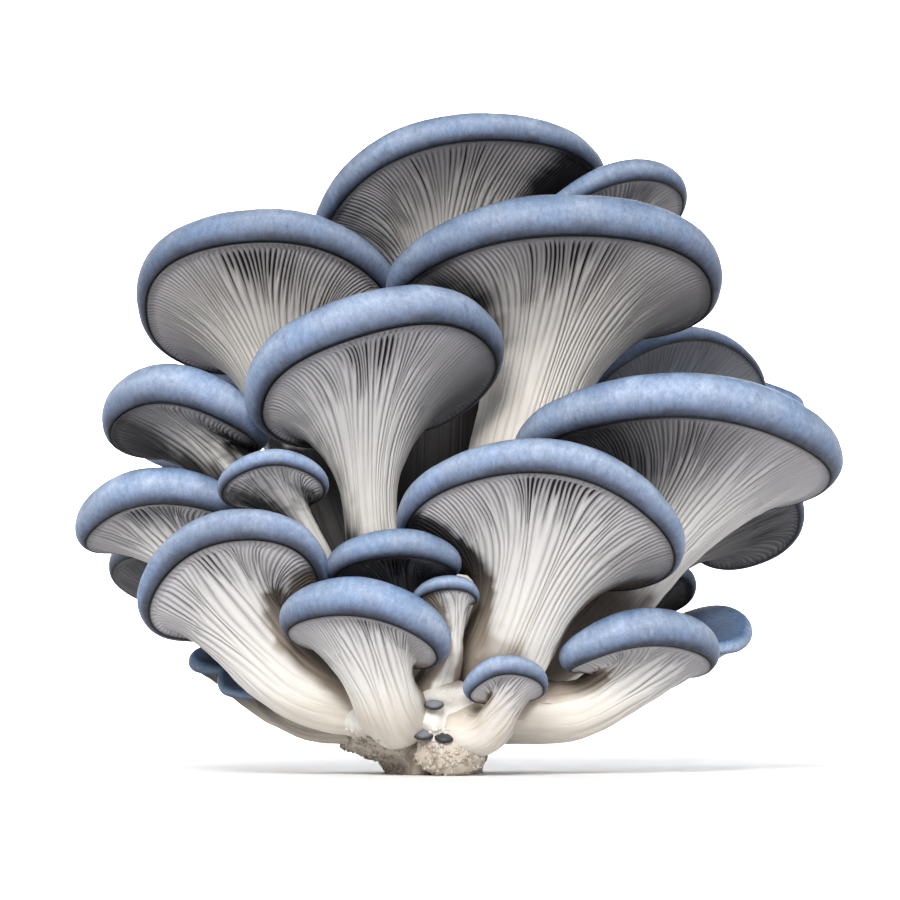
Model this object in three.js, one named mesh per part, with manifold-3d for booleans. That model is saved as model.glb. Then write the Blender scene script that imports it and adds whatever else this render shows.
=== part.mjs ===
// Oyster mushroom cluster, in millimetres, +Z up, standing on its cut base with the origin at the
// middle of the cut face. The open front of the cluster looks along -Y and +X is to its right.
//
// Each mushroom is a round cap with a thick inrolled rim, tipped so that its outer lip is the highest
// point, over a trumpet of gills that runs down into the stem. The stems bend in towards one another
// and grow together in the shared base. A mushroom makes two solids: its blue cap, and the
// cream body of gills and stem below it.

import * as THREE from "three";
import { mergeVertices } from "three/addons/utils/BufferGeometryUtils.js";
import Module from "manifold-3d";

const wasm = await Module();
wasm.setup();

// ---- driving dimensions -------------------------------------------------------------------------

const GAP = 0.3; // clearance between solids that meet
const BACK_REACH = 0.85; // reach of the rim behind its centre, as a share of its reach in front
const BACK_ROLL = 0.5; // thickness of the rim at the back, as a share of the lip's
const ROLL_TAPER = 1.1; // how much sooner than evenly the rim thins from the lip to the back
const ROLL_WIDTH = 0.8; // width of the rim's roll, as a share of its height
const NOTCH = 0.16; // how far the rim is drawn in above the stem, as a share of its size
const NOTCH_SPREAD = 0.42; // half width of that notch, in radians
const RIPPLE = 0.018; // waves along the rim, as a share of its size
const FUNNEL = 0.17; // depth of the hollow in the cap's top, as a share of its half width
const FLESH = 0.4; // thickness of the cap over the gills, as a share of the rim's roll
const LIP_END = -78; // where the blue skin stops under the rim, in degrees around the roll
const RIB_PITCH = 10.15; // rim length taken by one gill rib
const RIB_DEPTH = 1.5; // from the crest of a rib to the valley beside it, at the rim
const FEWEST_RIBS = 10;
const GROWN = 0.42; // share of a stem, from its foot, that has grown into the shared base
const ROOT_SIDES = 8; // sides of a stem where it has grown in
const STEM_STEPS = 24; // places a stem's path is worked out at

// The ragged lump the stems share, ring by ring: height, half width, half depth and middle.
const BUTT = [
  { level: 0, half: [12, 26], middle: [0.5, 1] },
  { level: 3, half: [13, 28], middle: [0, 1] },
  { level: 6.5, half: [18.5, 29], middle: [-4, 1] },
  { level: 13, half: [21, 28], middle: [-1, 2] },
];
const BUTT_TOP = 22;
const SMOOTHING = 0.26; // what the base may give up to do with fewer faces
const BUTT_SIDES = 16;

// Mushrooms that never grew: a ball on the front of the base, by its place and its radius.
const PINHEADS = [
  { at: [0.7, -36.5, 16], radius: 2.4 },
  { at: [-1.8, -32.5, 9.3], radius: 2.8 },
  { at: [3.2, -32.5, 8.8], radius: 2.4 },
  { at: [-26, -19, 11.5], radius: 1.6 },
];

const COLOURS = {
  cap: { color: 0x7f9cc4, roughness: 0.55, metalness: 0 },
  flesh: { color: 0xe9e3d8, roughness: 0.7, metalness: 0 },
  base: { color: 0xcfc2ae, roughness: 0.9, metalness: 0 },
};

// One entry for each mushroom. rim is the middle of the rim, turn the way the lip points (0 to the
// front, 90 to the right), lift the rise of the lip, bank the rise of its right side, half the rim's
// half width and half depth, roll the rim's radius and droop the fall of the rim's sides as a share
// of its half width. neck is where the gills end on the stem and foot where the stem starts, each
// with its radius after its place. grown is the share of the stem that is in the base, and funnel
// the depth of the hollow in the cap's top, where they aren't the usual ones.
const MUSHROOMS = {
  front_left_low: { rim: [-15, -42, 35], turn: -6, lift: 28, bank: -9, half: [17.5, 14.5], roll: 5.2,
    droop: 0.1, neck: [-11.5, -40.5, 20.5, 8], foot: [-8, -28, 14.5, 8.5] },
  front_right_bud: { rim: [17.5, -40, 22], turn: 15, lift: 37, bank: 0, half: [8.6, 7], roll: 2.9,
    neck: [14.9, -36.4, 12.1, 4.8], foot: [6, -26.5, 11.3, 8] },
  front_slender: { rim: [3.6, -35.5, 43.5], turn: 5, lift: 25, bank: 1, half: [7, 5.6], roll: 1.9,
    neck: [4.8, -35, 33, 2.9], foot: [-0.5, -28, 18, 6] },
  centre_small: { rim: [-9.3, -34, 51.3], turn: 0, lift: 20, bank: 3, half: [14, 11.5], roll: 3.7,
    neck: [-6, -22, 38, 4.5], foot: [-3, -16, 16, 6] },
  front_right: { rim: [26.5, -30, 60], turn: 12, lift: 35, bank: -10, half: [32, 24.5], roll: 5.2,
    droop: 0.09, neck: [20.5, -24, 36, 11.5], foot: [9, -15, 16, 10] },
  front_left: { rim: [-46.8, -30, 46.5], turn: -30, lift: 46, bank: 24, half: [20.5, 15.5], roll: 5.7,
    droop: 0.16, neck: [-37.8, -26, 27, 9.7], foot: [-10, -16, 16.5, 9] },
  low_right: { rim: [50, -15, 31], turn: 35, lift: 22, bank: -3, half: [19, 12.5], roll: 5.1,
    droop: 0.15, neck: [42, -13, 18.5, 7], foot: [14, -10, 15.5, 8.5], grown: 0.58 },
  centre_left: { rim: [-13, -14, 96], turn: -3, lift: 37, bank: 16, half: [29, 24], roll: 6.6,
    droop: -0.12, neck: [-15, -8, 62, 6.5], foot: [-4, -4, 16, 9] },
  left_small: { rim: [-38.5, -24, 70.5], turn: -5, lift: 35, bank: 5, half: [12, 10], roll: 2.5,
    droop: 0.16, neck: [-31, -18, 58, 4], foot: [-10, -10, 16, 5] },
  right_large: { rim: [61, -3, 79], turn: 18, lift: 20, bank: -6, half: [38, 32.5], roll: 6.2, droop: 0.03,
    neck: [48, 4, 49, 11], foot: [10, 3, 19, 10] },
  upper_right: { rim: [31.5, 6, 123], turn: 6, lift: 28, bank: 0, half: [39, 28], roll: 6.2, droop: 0.02,
    neck: [23.5, 19.5, 88, 12.5], foot: [2.5, 8, 17, 11] },
  upper_left: { rim: [-42, 19, 119], turn: -12, lift: 40, bank: 5, half: [31, 27], roll: 5.8, droop: 0.03,
    neck: [-36, 24.5, 91, 9.5], foot: [-6, 10, 17, 10] },
  left_high: { rim: [-61, 6, 88.5], turn: -25, lift: 27, bank: 1, half: [19, 16], roll: 5.8, droop: 0.14,
    neck: [-49, 7, 74, 8], foot: [-11, 1, 17, 8] },
  left_mid: { rim: [-66.5, -3, 64.5], turn: -20, lift: 19, bank: 9, half: [19, 16], roll: 5.1, droop: 0.17,
    neck: [-57, -3, 50, 6.5], foot: [-12, -6, 16, 7] },
  top: { rim: [6, 34, 150.5], turn: -2, lift: 24, bank: 13, half: [36.5, 29.5], roll: 4.3, droop: 0.13,
    neck: [4, 42, 121, 11.5], foot: [0, 19, 17, 11] },
  top_right_back: { rim: [45, 26, 146], turn: 40, lift: 24, bank: 0, half: [20, 16.5], roll: 3.2,
    droop: 0.15, neck: [39.5, 38, 126, 5], foot: [5, 25, 17, 6] },
  right_high: { rim: [59, 50.5, 99], turn: 25, lift: 45, bank: 8, half: [28.5, 20.5], roll: 2.5,
    droop: 0.22, neck: [52, 48, 79, 7], foot: [10, 17, 16, 8] },
  right_high_back: { rim: [85.6, 79, 104.2], turn: 80, lift: -28, bank: -3, half: [13, 14], roll: 3.1,
    neck: [74, 75, 87, 5.5], foot: [12, 26, 18, 6] },
  right_mid_back: { rim: [79, 40, 64], turn: 80, lift: 17, bank: -60, half: [11, 16.5], roll: 2.8,
    neck: [59, 34, 52.5, 4.4], foot: [14, 13, 15, 6.5] },
  right_bud_back: { rim: [58.5, 22.5, 46.5], turn: 80, lift: 15, bank: -45, half: [6, 7.2], roll: 2.6,
    neck: [51.5, 19.5, 38, 2.4], foot: [14, 11.5, 12, 3.5], grown: 0.75 },
  low_right_back: { rim: [67, 15, 35.7], turn: 130, lift: 20, bank: 8, half: [13.5, 10.5], roll: 2.8,
    funnel: 0.05, neck: [56, 17, 24, 4.6], foot: [15, 6, 13, 6] },
  left_low_back: { rim: [-64, 30, 49], turn: -50, lift: 30, bank: 0, half: [19, 16.5], roll: 3.5,
    neck: [-48, 23, 33, 6.5], foot: [-14, 11, 14, 7] },
  left_bud_1: { rim: [-52, 7, 27.5], turn: -140, lift: 20, bank: 0, half: [8, 6.5], roll: 2.4,
    neck: [-44, 6, 20, 3.5], foot: [-15, 2, 12, 4] },
  left_bud_2: { rim: [-43.5, -6, 22], turn: -160, lift: 28, bank: 4, half: [8.2, 7.4], roll: 2.4,
    neck: [-34, -6, 13, 3.4], foot: [-15, -6, 12, 5] },
  back_left_high: { rim: [-31, 57, 108], turn: -160, lift: 25, bank: 0, half: [27, 22], roll: 4.8,
    neck: [-25, 48, 80, 9], foot: [-8, 26, 17, 8.5] },
  back_right_high: { rim: [32, 71, 82], turn: 160, lift: 25, bank: 0, half: [24, 19], roll: 4.5,
    neck: [27, 58.5, 59, 7.5], foot: [6, 28, 15, 8] },
  back_low: { rim: [-12, 66, 44], turn: -172, lift: 28, bank: 0, half: [22, 17], roll: 4.6,
    neck: [-8, 51, 25, 7.5], foot: [-2, 29, 14, 8] },
  back_left: { rim: [-58, 52, 84], turn: -120, lift: 24, bank: 0, half: [22, 18], roll: 4.6,
    neck: [-45, 41, 59, 7.5], foot: [-12, 18, 16, 8] },
  back_right_low: { rim: [40, 60, 36], turn: 145, lift: 28, bank: 0, half: [16, 13], roll: 3.8,
    neck: [32, 50, 22, 6], foot: [10, 28, 14, 7] },
};

// ---- vectors and curves -------------------------------------------------------------------------

const vec = (x, y, z) => new THREE.Vector3(x, y, z);
const rad = THREE.MathUtils.degToRad;
const move = (point, ...steps) => {
  const moved = point.clone();
  for (const [direction, length] of steps) moved.addScaledVector(direction, length);
  return moved;
};
const bezier = (a, b, c, d, t) => new THREE.CubicBezierCurve3(a, b, c, d).getPoint(t);
const flatten = (v, normal) => move(v, [normal, -v.dot(normal)]).normalize();
const middle = (ring) =>
  ring.reduce((sum, p) => sum.add(p), vec(0, 0, 0)).divideScalar(ring.length);
const around = (count) => Array.from({ length: count }, (_, i) => (2 * Math.PI * i) / count);

// ---- solids -------------------------------------------------------------------------------------

// A closed skin from one pole through a row of rings to the other pole. A ring has as many points as
// the one before it, twice as many, or half as many.
function closedSkin(firstPole, rings, lastPole) {
  const points = [firstPole, ...rings.flat(), lastPole];
  const faces = [];
  let start = 1;
  rings[0].forEach((_, i) => faces.push([0, start + ((i + 1) % rings[0].length), start + i]));
  for (let r = 0; r + 1 < rings.length; r++) {
    const [m, n] = [rings[r].length, rings[r + 1].length];
    const next = start + m;
    const count = Math.max(m, n);
    for (let i = 0; i < count; i++) {
      const a = start + (m < n ? Math.floor((i + 1) / 2) % m : i);
      const b = start + (m < n ? Math.floor((i + 2) / 2) % m : (i + 1) % m);
      const c = next + (n < m ? Math.floor((i + 1) / 2) % n : i);
      const d = next + (n < m ? Math.floor((i + 2) / 2) % n : (i + 1) % n);
      if (a !== b) faces.push([a, b, d]);
      if (c !== d) faces.push([a, d, c]);
    }
    start = next;
  }
  const end = rings.at(-1).length;
  for (let i = 0; i < end; i++) faces.push([start + i, start + ((i + 1) % end), points.length - 1]);
  return solidOf(points, faces);
}

function solidOf(points, faces) {
  const mesh = (order) =>
    new wasm.Manifold(
      new wasm.Mesh({
        numProp: 3,
        vertProperties: new Float32Array(points.flatMap((p) => [p.x, p.y, p.z])),
        triVerts: new Uint32Array(faces.flatMap(order)),
      }),
    );
  const made = mesh((f) => f);
  return made.volume() > 0 ? made : mesh(([a, b, c]) => [a, c, b]);
}

// ---- one mushroom -------------------------------------------------------------------------------

class Mushroom {
  constructor(name, sizes, index) {
    Object.assign(this, sizes);
    this.name = name;
    this.phase = 2.4 * index;
    this.centre = vec(...this.rim);
    this.droop ??= 0.12;
    this.grown ??= GROWN;
    this.funnel ??= FUNNEL;
    const level = vec(Math.sin(rad(this.turn)), -Math.cos(rad(this.turn)), 0);
    this.lip = move(vec(0, 0, Math.sin(rad(this.lift))), [level, Math.cos(rad(this.lift))]);
    this.side = vec(Math.cos(rad(this.turn)), Math.sin(rad(this.turn)), 0);
    this.side.applyAxisAngle(this.lip, rad(this.bank));
    this.up = this.lip.clone().cross(this.side);
    this.neckAt = vec(...this.neck);
    this.footAt = vec(...this.foot);
    this.neckAxis = this.centre.clone().sub(this.neckAt).normalize();
    this.neckAxis.add(this.neckAt.clone().sub(this.footAt).normalize()).normalize();
    const length = Math.PI * (this.half[0] + this.half[1]);
    this.columns = Math.max(FEWEST_RIBS, Math.round(length / RIB_PITCH));
    this.stem = this.layStem();
  }

  // The middle of the rim's roll at an angle from the right side (0) round by the lip (90 degrees).
  rimPoint(angle) {
    const [c, s] = [Math.cos(angle), Math.sin(angle)];
    const behind = Math.atan2(c, -s) / NOTCH_SPREAD;
    const wave = Math.sin(3 * angle + this.phase) + 0.6 * Math.sin(5 * angle + 2 * this.phase);
    const size = 1 - NOTCH * Math.exp(-behind * behind) + RIPPLE * wave;
    const reach = this.half[1] * (s > 0 ? 1 : BACK_REACH);
    const rise = RIPPLE * Math.sin(2 * angle + this.phase) - this.droop * c * c;
    return move(this.centre, [this.side, this.half[0] * c * size], [this.lip, reach * s * size],
      [this.up, this.half[0] * rise]);
  }

  // Thickness of the rim at an angle, as a share of the lip's.
  thickness(angle) {
    return THREE.MathUtils.lerp(BACK_ROLL, 1, (0.5 + 0.5 * Math.sin(angle)) ** ROLL_TAPER);
  }

  // A point on the rim's roll: turned is 90 on top, 0 outside and -90 below.
  rollPoint(angle, turned, share = 1) {
    const step = 0.02;
    const middle = this.rimPoint(angle);
    const along = this.rimPoint(angle + step).sub(this.rimPoint(angle - step)).normalize();
    const out = this.up.clone().cross(along).normalize();
    const above = along.clone().cross(out);
    const radius = share * this.roll * this.thickness(angle);
    return move(middle, [out, ROLL_WIDTH * radius * Math.cos(rad(turned))],
      [above, radius * Math.sin(rad(turned))]);
  }

  // The bottom of the hollow in the cap's top, over the stem.
  hollow() {
    const aside = flatten(this.neckAt.clone().sub(this.centre), this.up);
    const off = this.neckAt.clone().sub(this.centre).dot(aside);
    const depth = Math.min(this.funnel * this.half[0], 0.2 * this.neckAt.distanceTo(this.centre));
    return move(this.centre, [aside, 0.45 * Math.min(off, 0.6 * this.half[1])], [this.up, -depth]);
  }

  // A point of the cap's top, from the hollow (0) to the top of the rim's roll (1).
  topPoint(angle, share) {
    const [from, to] = [this.hollow(), this.rollPoint(angle, 90)];
    const out = flatten(to.clone().sub(from), this.up);
    const reach = to.distanceTo(from);
    return bezier(from, move(from, [out, 0.3 * reach]), move(to, [out, -0.55 * reach]), to, share);
  }

  neckPoint(angle) {
    const lip = flatten(this.lip, this.neckAxis);
    const side = this.neckAxis.clone().cross(lip);
    const radius = this.neck[3];
    return move(this.neckAt, [side, radius * Math.cos(angle)], [lip, radius * Math.sin(angle)]);
  }

  // A point of the gills, from under the rim (0) to the neck (1).
  gillPoint(angle, share) {
    const [from, to] = [this.rollPoint(angle, -112, 0.98), this.neckPoint(angle)];
    const inward = flatten(this.rimPoint(angle + Math.PI).sub(this.rimPoint(angle)), this.up);
    const fall = Math.max(from.clone().sub(to).dot(this.neckAxis), 0.2 * from.distanceTo(to));
    const across = Math.sqrt(Math.max(from.distanceToSquared(to) - fall * fall, 1));
    const drop = 0.2 * (1.5 - this.thickness(angle)) * across;
    const start = move(from, [inward, 0.42 * across], [this.up, -drop]);
    return bezier(from, start, move(to, [this.neckAxis, 0.55 * fall]), to, share);
  }

  gillNormal(angle, share) {
    const step = 0.01;
    const along = this.gillPoint(angle + step, share).sub(this.gillPoint(angle - step, share));
    const down = this.gillPoint(angle, Math.min(1, share + step)).sub(
      this.gillPoint(angle, Math.max(0, share - step)));
    return down.cross(along).normalize();
  }

  // A ring of the gills, where each rib takes two points: its crest, and the valley beside it.
  gillRing(share, depth) {
    return around(2 * this.columns).map((angle, i) =>
      move(this.gillPoint(angle, share),
        [this.gillNormal(angle, share), i % 2 ? depth * this.thickness(angle) : 0]));
  }

  // Places along the stem from its foot to its neck, each with its axes and radius.
  layStem() {
    const reach = 0.4 * this.neckAt.distanceTo(this.footAt);
    const leave = this.neckAt.clone().sub(this.footAt).normalize();
    leave.add(vec(this.footAt.x, this.footAt.y, 0).multiplyScalar(0.02)).normalize();
    const path = new THREE.CubicBezierCurve3(this.footAt, move(this.footAt, [leave, reach]),
      move(this.neckAt, [this.neckAxis, -reach]), this.neckAt);
    let lip = flatten(this.lip, this.neckAxis);
    const places = [];
    for (let i = STEM_STEPS; i >= 0; i--) {
      const axis = path.getTangent(i / STEM_STEPS);
      lip = flatten(lip, axis);
      places[i] = {
        at: path.getPoint(i / STEM_STEPS),
        axis,
        lip,
        side: axis.clone().cross(lip),
        radius: THREE.MathUtils.lerp(this.foot[3], this.neck[3], i / STEM_STEPS),
      };
    }
    return places;
  }

  // A ring of the stem at a share of its length, made wider and sunk towards the foot.
  stemRing(share, count, wider = 0, sunk = 0) {
    const { at, axis, lip, side, radius } = this.stem[Math.round(share * STEM_STEPS)];
    const reach = radius + wider;
    return around(count).map((angle) =>
      move(at, [side, reach * Math.cos(angle)], [lip, reach * Math.sin(angle)], [axis, -sunk]));
  }

  // The ring where the cap meets the gills half way in, lowered by a gap.
  underRing(gap) {
    return around(this.columns).map((angle) =>
      move(this.topPoint(angle, 0.6), [this.up, -FLESH * this.roll * this.thickness(angle) - gap]));
  }

  capSolid() {
    const angles = around(this.columns);
    const top = (share) => angles.map((angle) => this.topPoint(angle, share));
    const roll = (turned, share) => angles.map((angle) => this.rollPoint(angle, turned, share));
    const under = move(this.hollow(), [this.up, -FLESH * this.roll]);
    return closedSkin(this.hollow(),
      [top(0.55), roll(90), roll(32), roll(-26), roll(LIP_END), roll(-125, 0.62), this.underRing(0)],
      under);
  }

  bodySolid() {
    const angles = around(this.columns);
    const inside = this.underRing(GAP);
    const edge = angles.map((angle) => move(this.rollPoint(angle, -125, 0.62), [this.up, -2 * GAP]));
    const lip = angles.map((angle) => this.gillPoint(angle, 0));
    const depth = RIB_DEPTH * Math.min(1, this.roll / 4);
    const cut = this.stemRing(this.grown, this.columns);
    return closedSkin(move(this.hollow(), [this.up, -FLESH * this.roll - GAP]),
      [inside, edge, lip, this.gillRing(0.15, 0.25 * depth), this.gillRing(0.4, 0.9 * depth),
        this.gillRing(0.7, 0.7 * depth), this.gillRing(1, 0.3 * depth),
        this.stemRing(0.75, this.columns), cut],
      middle(cut));
  }

  // The part of the stem that has grown into the base, its top a gap below the stem's cut end.
  rootSolid() {
    const top = this.stemRing(this.grown, ROOT_SIDES, 0, GAP);
    return closedSkin(this.footAt, [this.stemRing(0, ROOT_SIDES), top], middle(top));
  }

  // The room the free part of the stem takes out of the base.
  clearance() {
    const room = GAP + SMOOTHING;
    const cut = this.stemRing(this.grown, this.columns, room, GAP / 2);
    const neck = this.stemRing(1, this.columns, room);
    return closedSkin(middle(cut), [cut, this.stemRing(0.75, this.columns, room), neck], middle(neck));
  }
}

// ---- the shared base ----------------------------------------------------------------------------

function buttSolid() {
  const rings = BUTT.map(({ level, half, middle }) => around(BUTT_SIDES).map((angle) => {
    const ragged = 1 + 0.04 * Math.sin(5 * angle + level) + 0.03 * Math.sin(9 * angle - 2 * level);
    return vec(middle[0] + half[0] * ragged * Math.cos(angle),
      middle[1] + half[1] * ragged * Math.sin(angle), level);
  }));
  return closedSkin(vec(...BUTT[0].middle, 0), rings, vec(0, 3, BUTT_TOP));
}

function pinheadSolid({ at, radius }) {
  const shape = new THREE.IcosahedronGeometry(radius, 1).translate(...at);
  shape.deleteAttribute("normal");
  shape.deleteAttribute("uv");
  const ball = mergeVertices(shape);
  return new wasm.Manifold(
    new wasm.Mesh({
      numProp: 3,
      vertProperties: ball.attributes.position.array,
      triVerts: new Uint32Array(ball.index.array),
    }),
  );
}

function baseSolid(mushrooms) {
  const roots = mushrooms.map((m) => m.rootSolid());
  const grown = wasm.Manifold.union([buttSolid(), ...roots, ...PINHEADS.map(pinheadSolid)]);
  const free = wasm.Manifold.union(mushrooms.map((m) => m.clearance()));
  const bodies = grown.subtract(free).trimByPlane([0, 0, 1], 0).simplify(SMOOTHING).decompose();
  return bodies.reduce((most, body) => (body.volume() > most.volume() ? body : most));
}

// ---- the cluster --------------------------------------------------------------------------------

const cluster = new THREE.Group();
const mushrooms = Object.entries(MUSHROOMS).map(([name, sizes], i) => new Mushroom(name, sizes, i));

function addMesh(name, solid, colour) {
  const mesh = solid.getMesh();
  const geometry = new THREE.BufferGeometry();
  geometry.setAttribute("position", new THREE.BufferAttribute(mesh.vertProperties, 3));
  geometry.setIndex(new THREE.BufferAttribute(mesh.triVerts, 1));
  const made = new THREE.Mesh(geometry, new THREE.MeshStandardMaterial(colour));
  made.name = name;
  cluster.add(made);
}

for (const mushroom of mushrooms) {
  addMesh("cap_" + mushroom.name, mushroom.capSolid(), COLOURS.cap);
  addMesh("stem_" + mushroom.name, mushroom.bodySolid(), COLOURS.flesh);
}

addMesh("base", baseSolid(mushrooms), COLOURS.base);

export default cluster;
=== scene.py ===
"""Blue oyster mushroom cluster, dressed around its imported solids.

Every mushroom is an inrolled blue cap over a trumpet of gills that runs down into a pale stem. The
stems grow together in a ragged base, cut flat underneath, with four pinheads on its front. Lengths
in the tables are millimetres in the part's own frame, and meshes are made in metres.
"""

import logging
import math
from dataclasses import dataclass, field
from enum import Enum
from typing import Any, Sequence

import bpy
import numpy as np
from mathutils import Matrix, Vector
from mathutils.bvhtree import BVHTree


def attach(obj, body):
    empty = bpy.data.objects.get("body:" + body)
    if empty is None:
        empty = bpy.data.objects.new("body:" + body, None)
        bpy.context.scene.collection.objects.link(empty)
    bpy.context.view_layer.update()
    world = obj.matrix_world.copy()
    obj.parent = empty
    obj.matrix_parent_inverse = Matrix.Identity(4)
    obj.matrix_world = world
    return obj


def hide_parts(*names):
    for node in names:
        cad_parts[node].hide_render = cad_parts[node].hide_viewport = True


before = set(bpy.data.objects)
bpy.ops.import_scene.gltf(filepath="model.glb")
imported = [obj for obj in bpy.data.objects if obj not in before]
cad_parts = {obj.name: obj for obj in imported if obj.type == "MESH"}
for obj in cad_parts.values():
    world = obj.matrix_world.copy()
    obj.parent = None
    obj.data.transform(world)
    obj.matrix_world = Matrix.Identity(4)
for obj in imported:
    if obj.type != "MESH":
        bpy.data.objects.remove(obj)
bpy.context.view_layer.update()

log = logging.getLogger("oyster_cluster")

Point = tuple[float, float, float]
Array = np.ndarray
Socket = Any

MM = 0.001
BODY = "root"

# ---- sizes that every mushroom shares ----------------------------------------

GAP = 0.3  # clearance between a cap and the body below it
BACK_REACH = 0.85  # reach of the rim behind its centre, as a share of its reach in front
BACK_ROLL = 0.5  # thickness of the rim at the back, as a share of the lip's
ROLL_TAPER = 1.1  # how much sooner than evenly the rim thins from the lip to the back
ROLL_WIDTH = 0.8  # width of the rim's roll, as a share of its height
NOTCH = 0.16  # how far the rim is drawn in above the stem
NOTCH_SPREAD = 0.42  # half width of that notch, in radians
RIPPLE = 0.018  # waves along the rim
FLESH = 0.4  # thickness of the cap over the gills, as a share of the rim's roll
SKIN_END = -78.0  # where the blue skin stops under the rim, in degrees around the roll
GILL_START = -82.0  # where the gills start beside it
GILL_TURN = -112.0  # where the gills leave the roll
SKIN_LEAVE = (-84.0, 0.8)  # where the cap's flesh leaves the roll: degrees, share of its radius
GILL_LEAVE = (-86.0, 0.86)  # the same for the body's flesh
TUCK = (-125.0, 0.55)  # where both tuck in behind the roll
GILL_CREST = 0.98  # how far from the roll's middle the gills' crests leave it, as a share
HOLLOW_SHIFT = (0.45, 0.6)  # how far the hollow lies over to the stem, and where that stops
TOP_HANDLES = (0.3, 0.55)  # handles of the top's curve at the hollow and at the rim, as shares
UNDER_AT = 0.6  # where the flesh of the cap meets the gills, from the hollow (0) to the rim (1)
GILL_HANDLES = (0.42, 0.55)  # handles of a gill's curve at the rim and at the neck, as shares
GILL_FALL = 0.2  # least fall of a gill, and how much it first drops, as shares of its run
STEM_HANDLE = 0.4  # handles of a stem's curve, as a share of its length
STEM_SPLAY = 0.02  # how much the stems lean away from one another where they start
STEM_STEPS = 24  # places that the line of a stem is drawn through
FULL_ROLL = 5.0  # radius of the rim from which a mushroom's skin has its full relief
PATTERN = 0.1  # size of the finishes' own pattern round a cap, for each millimetre across
GOLDEN_PHASE = 2.4  # step between the wave phases of one mushroom and the next


class PaintedShade(Enum):
    """How much painted light and shade a mushroom's gills and cap skin get, for where it sits in
    the cluster: lit and shaded copies of one finish.
    """

    SUNNED = "sunned"
    OPEN = "open"
    SHELTERED = "sheltered"
    HIDDEN = "hidden"


class Growth(Enum):
    """How far a mushroom has grown: gill pitch in mm, rows in the cap, and columns in the cap."""

    BUD = (0.8, 20, 64)
    YOUNG = (1.0, 26, 96)
    FULL = (1.3, 32, 144)
    COARSE = (1.9, 24, 96)

    @property
    def pitch(self) -> float:
        """Rim length taken by one gill, in millimetres."""
        return self.value[0]

    @property
    def cap_rows(self) -> int:
        """Rows of faces from the cap's hollow to its skin's end."""
        return self.value[1]

    @property
    def cap_columns(self) -> int:
        """Columns of faces around the cap."""
        return self.value[2]


# ---- vectors -----------------------------------------------------------------


def unit(v: Array) -> Array:
    """The vectors of v, each made one long."""
    return v / np.linalg.norm(v, axis=-1, keepdims=True)


def dot(a: Array, b: Array) -> Array:
    """The dot products of the rows of a and b, kept as a column."""
    return np.sum(a * b, axis=-1, keepdims=True)


def flatten(v: Array, normal: Array) -> Array:
    """The unit vectors of v with their share along normal taken out."""
    return unit(v - dot(v, normal) * normal)


def turn_about(v: Array, axis: Array, angle: float) -> Array:
    """A vector turned about an axis.

    Args:
        v: the vector.
        axis: the axis, one long.
        angle: the angle in radians.

    Returns:
        The turned vector.
    """
    return (
        v * math.cos(angle)
        + np.cross(axis, v) * math.sin(angle)
        + axis * float(np.dot(axis, v)) * (1 - math.cos(angle))
    )


def bezier(a: Array, b: Array, c: Array, d: Array, t: float) -> Array:
    """The place at share t of the cubic from a to d with handles b and c."""
    u = 1 - t
    return u**3 * a + 3 * u * u * t * b + 3 * u * t * t * c + t**3 * d


def smooth(x: Array | float, low: float, high: float) -> Array | float:
    """0 below low and 1 above high, with an even run between."""
    t = np.clip((x - low) / (high - low), 0, 1)
    return t * t * (3 - 2 * t)


# ---- meshes ------------------------------------------------------------------


@dataclass
class Skin:
    """A closed skin of rings between two poles, with a value for each point of each named layer."""

    points: list[Array] = field(default_factory=list)
    layers: dict[str, list[Array]] = field(default_factory=dict)

    def add(self, ring: Array, **values: Array | float) -> None:
        """Adds a ring, or a pole as a ring of one point.

        Args:
            ring: the ring's points, one row each, in millimetres.
            values: for each layer, a number for the whole ring or one row for each point.
        """
        ring = np.atleast_2d(ring)
        self.points.append(ring)
        for name, value in values.items():
            rows = np.asarray(value, float)
            if rows.ndim == 0 or (rows.ndim == 1 and len(rows) != len(ring)):
                rows = np.broadcast_to(rows, (len(ring), *rows.shape))
            self.layers.setdefault(name, []).append(rows)

    def faces(self) -> Array:
        """The skin's triangles. A ring has as many points as the one before it, or half as many.

        Returns:
            One row of three point numbers for each triangle.
        """
        found = []
        start = 0
        for ring, after in zip(self.points, self.points[1:]):
            m, n = len(ring), len(after)
            count = max(m, n)
            i = np.arange(count)
            j = (i + 1) % count
            if m == 1:
                found.append(np.stack([np.full(n, start), start + 1 + j, start + 1 + i], 1))
            elif n == 1:
                found.append(np.stack([start + i, start + j, np.full(m, start + m)], 1))
            else:
                c = start + m + (i if n == m else ((i + 1) // 2) % n)
                d = start + m + (j if n == m else ((i + 2) // 2) % n)
                found.append(np.stack([start + i, start + j, d], 1))
                lower = np.stack([start + i, d, c], 1)
                found.append(lower[c != d])
            start += m
        return np.concatenate(found)

    def outward(self, points: Array) -> Array:
        """The skin's triangles, turned to face out of the body.

        Args:
            points: the skin's points.

        Returns:
            One row of three point numbers for each triangle.
        """
        faces = self.faces()
        a, b, c = (points[faces[:, k]] - points.mean(0) for k in range(3))
        return faces[:, ::-1] if float(np.sum(a * np.cross(b, c))) < 0 else faces

    def to_object(self, name: str) -> bpy.types.Object:
        """The skin as a smooth mesh object, in metres, facing outwards.

        Args:
            name: the name of the object and its mesh.

        Returns:
            The new object, linked to the scene.
        """
        points = np.concatenate(self.points) * MM
        mesh = mesh_of(name, points, self.outward(points))
        for layer, rings in self.layers.items():
            values = np.concatenate(rings).astype(np.float32)
            kind = "FLOAT_VECTOR" if values.ndim == 2 else "FLOAT"
            made = mesh.attributes.new(layer, kind, "POINT")
            made.data.foreach_set("vector" if values.ndim == 2 else "value", values.ravel())
        return link(name, mesh)


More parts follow.
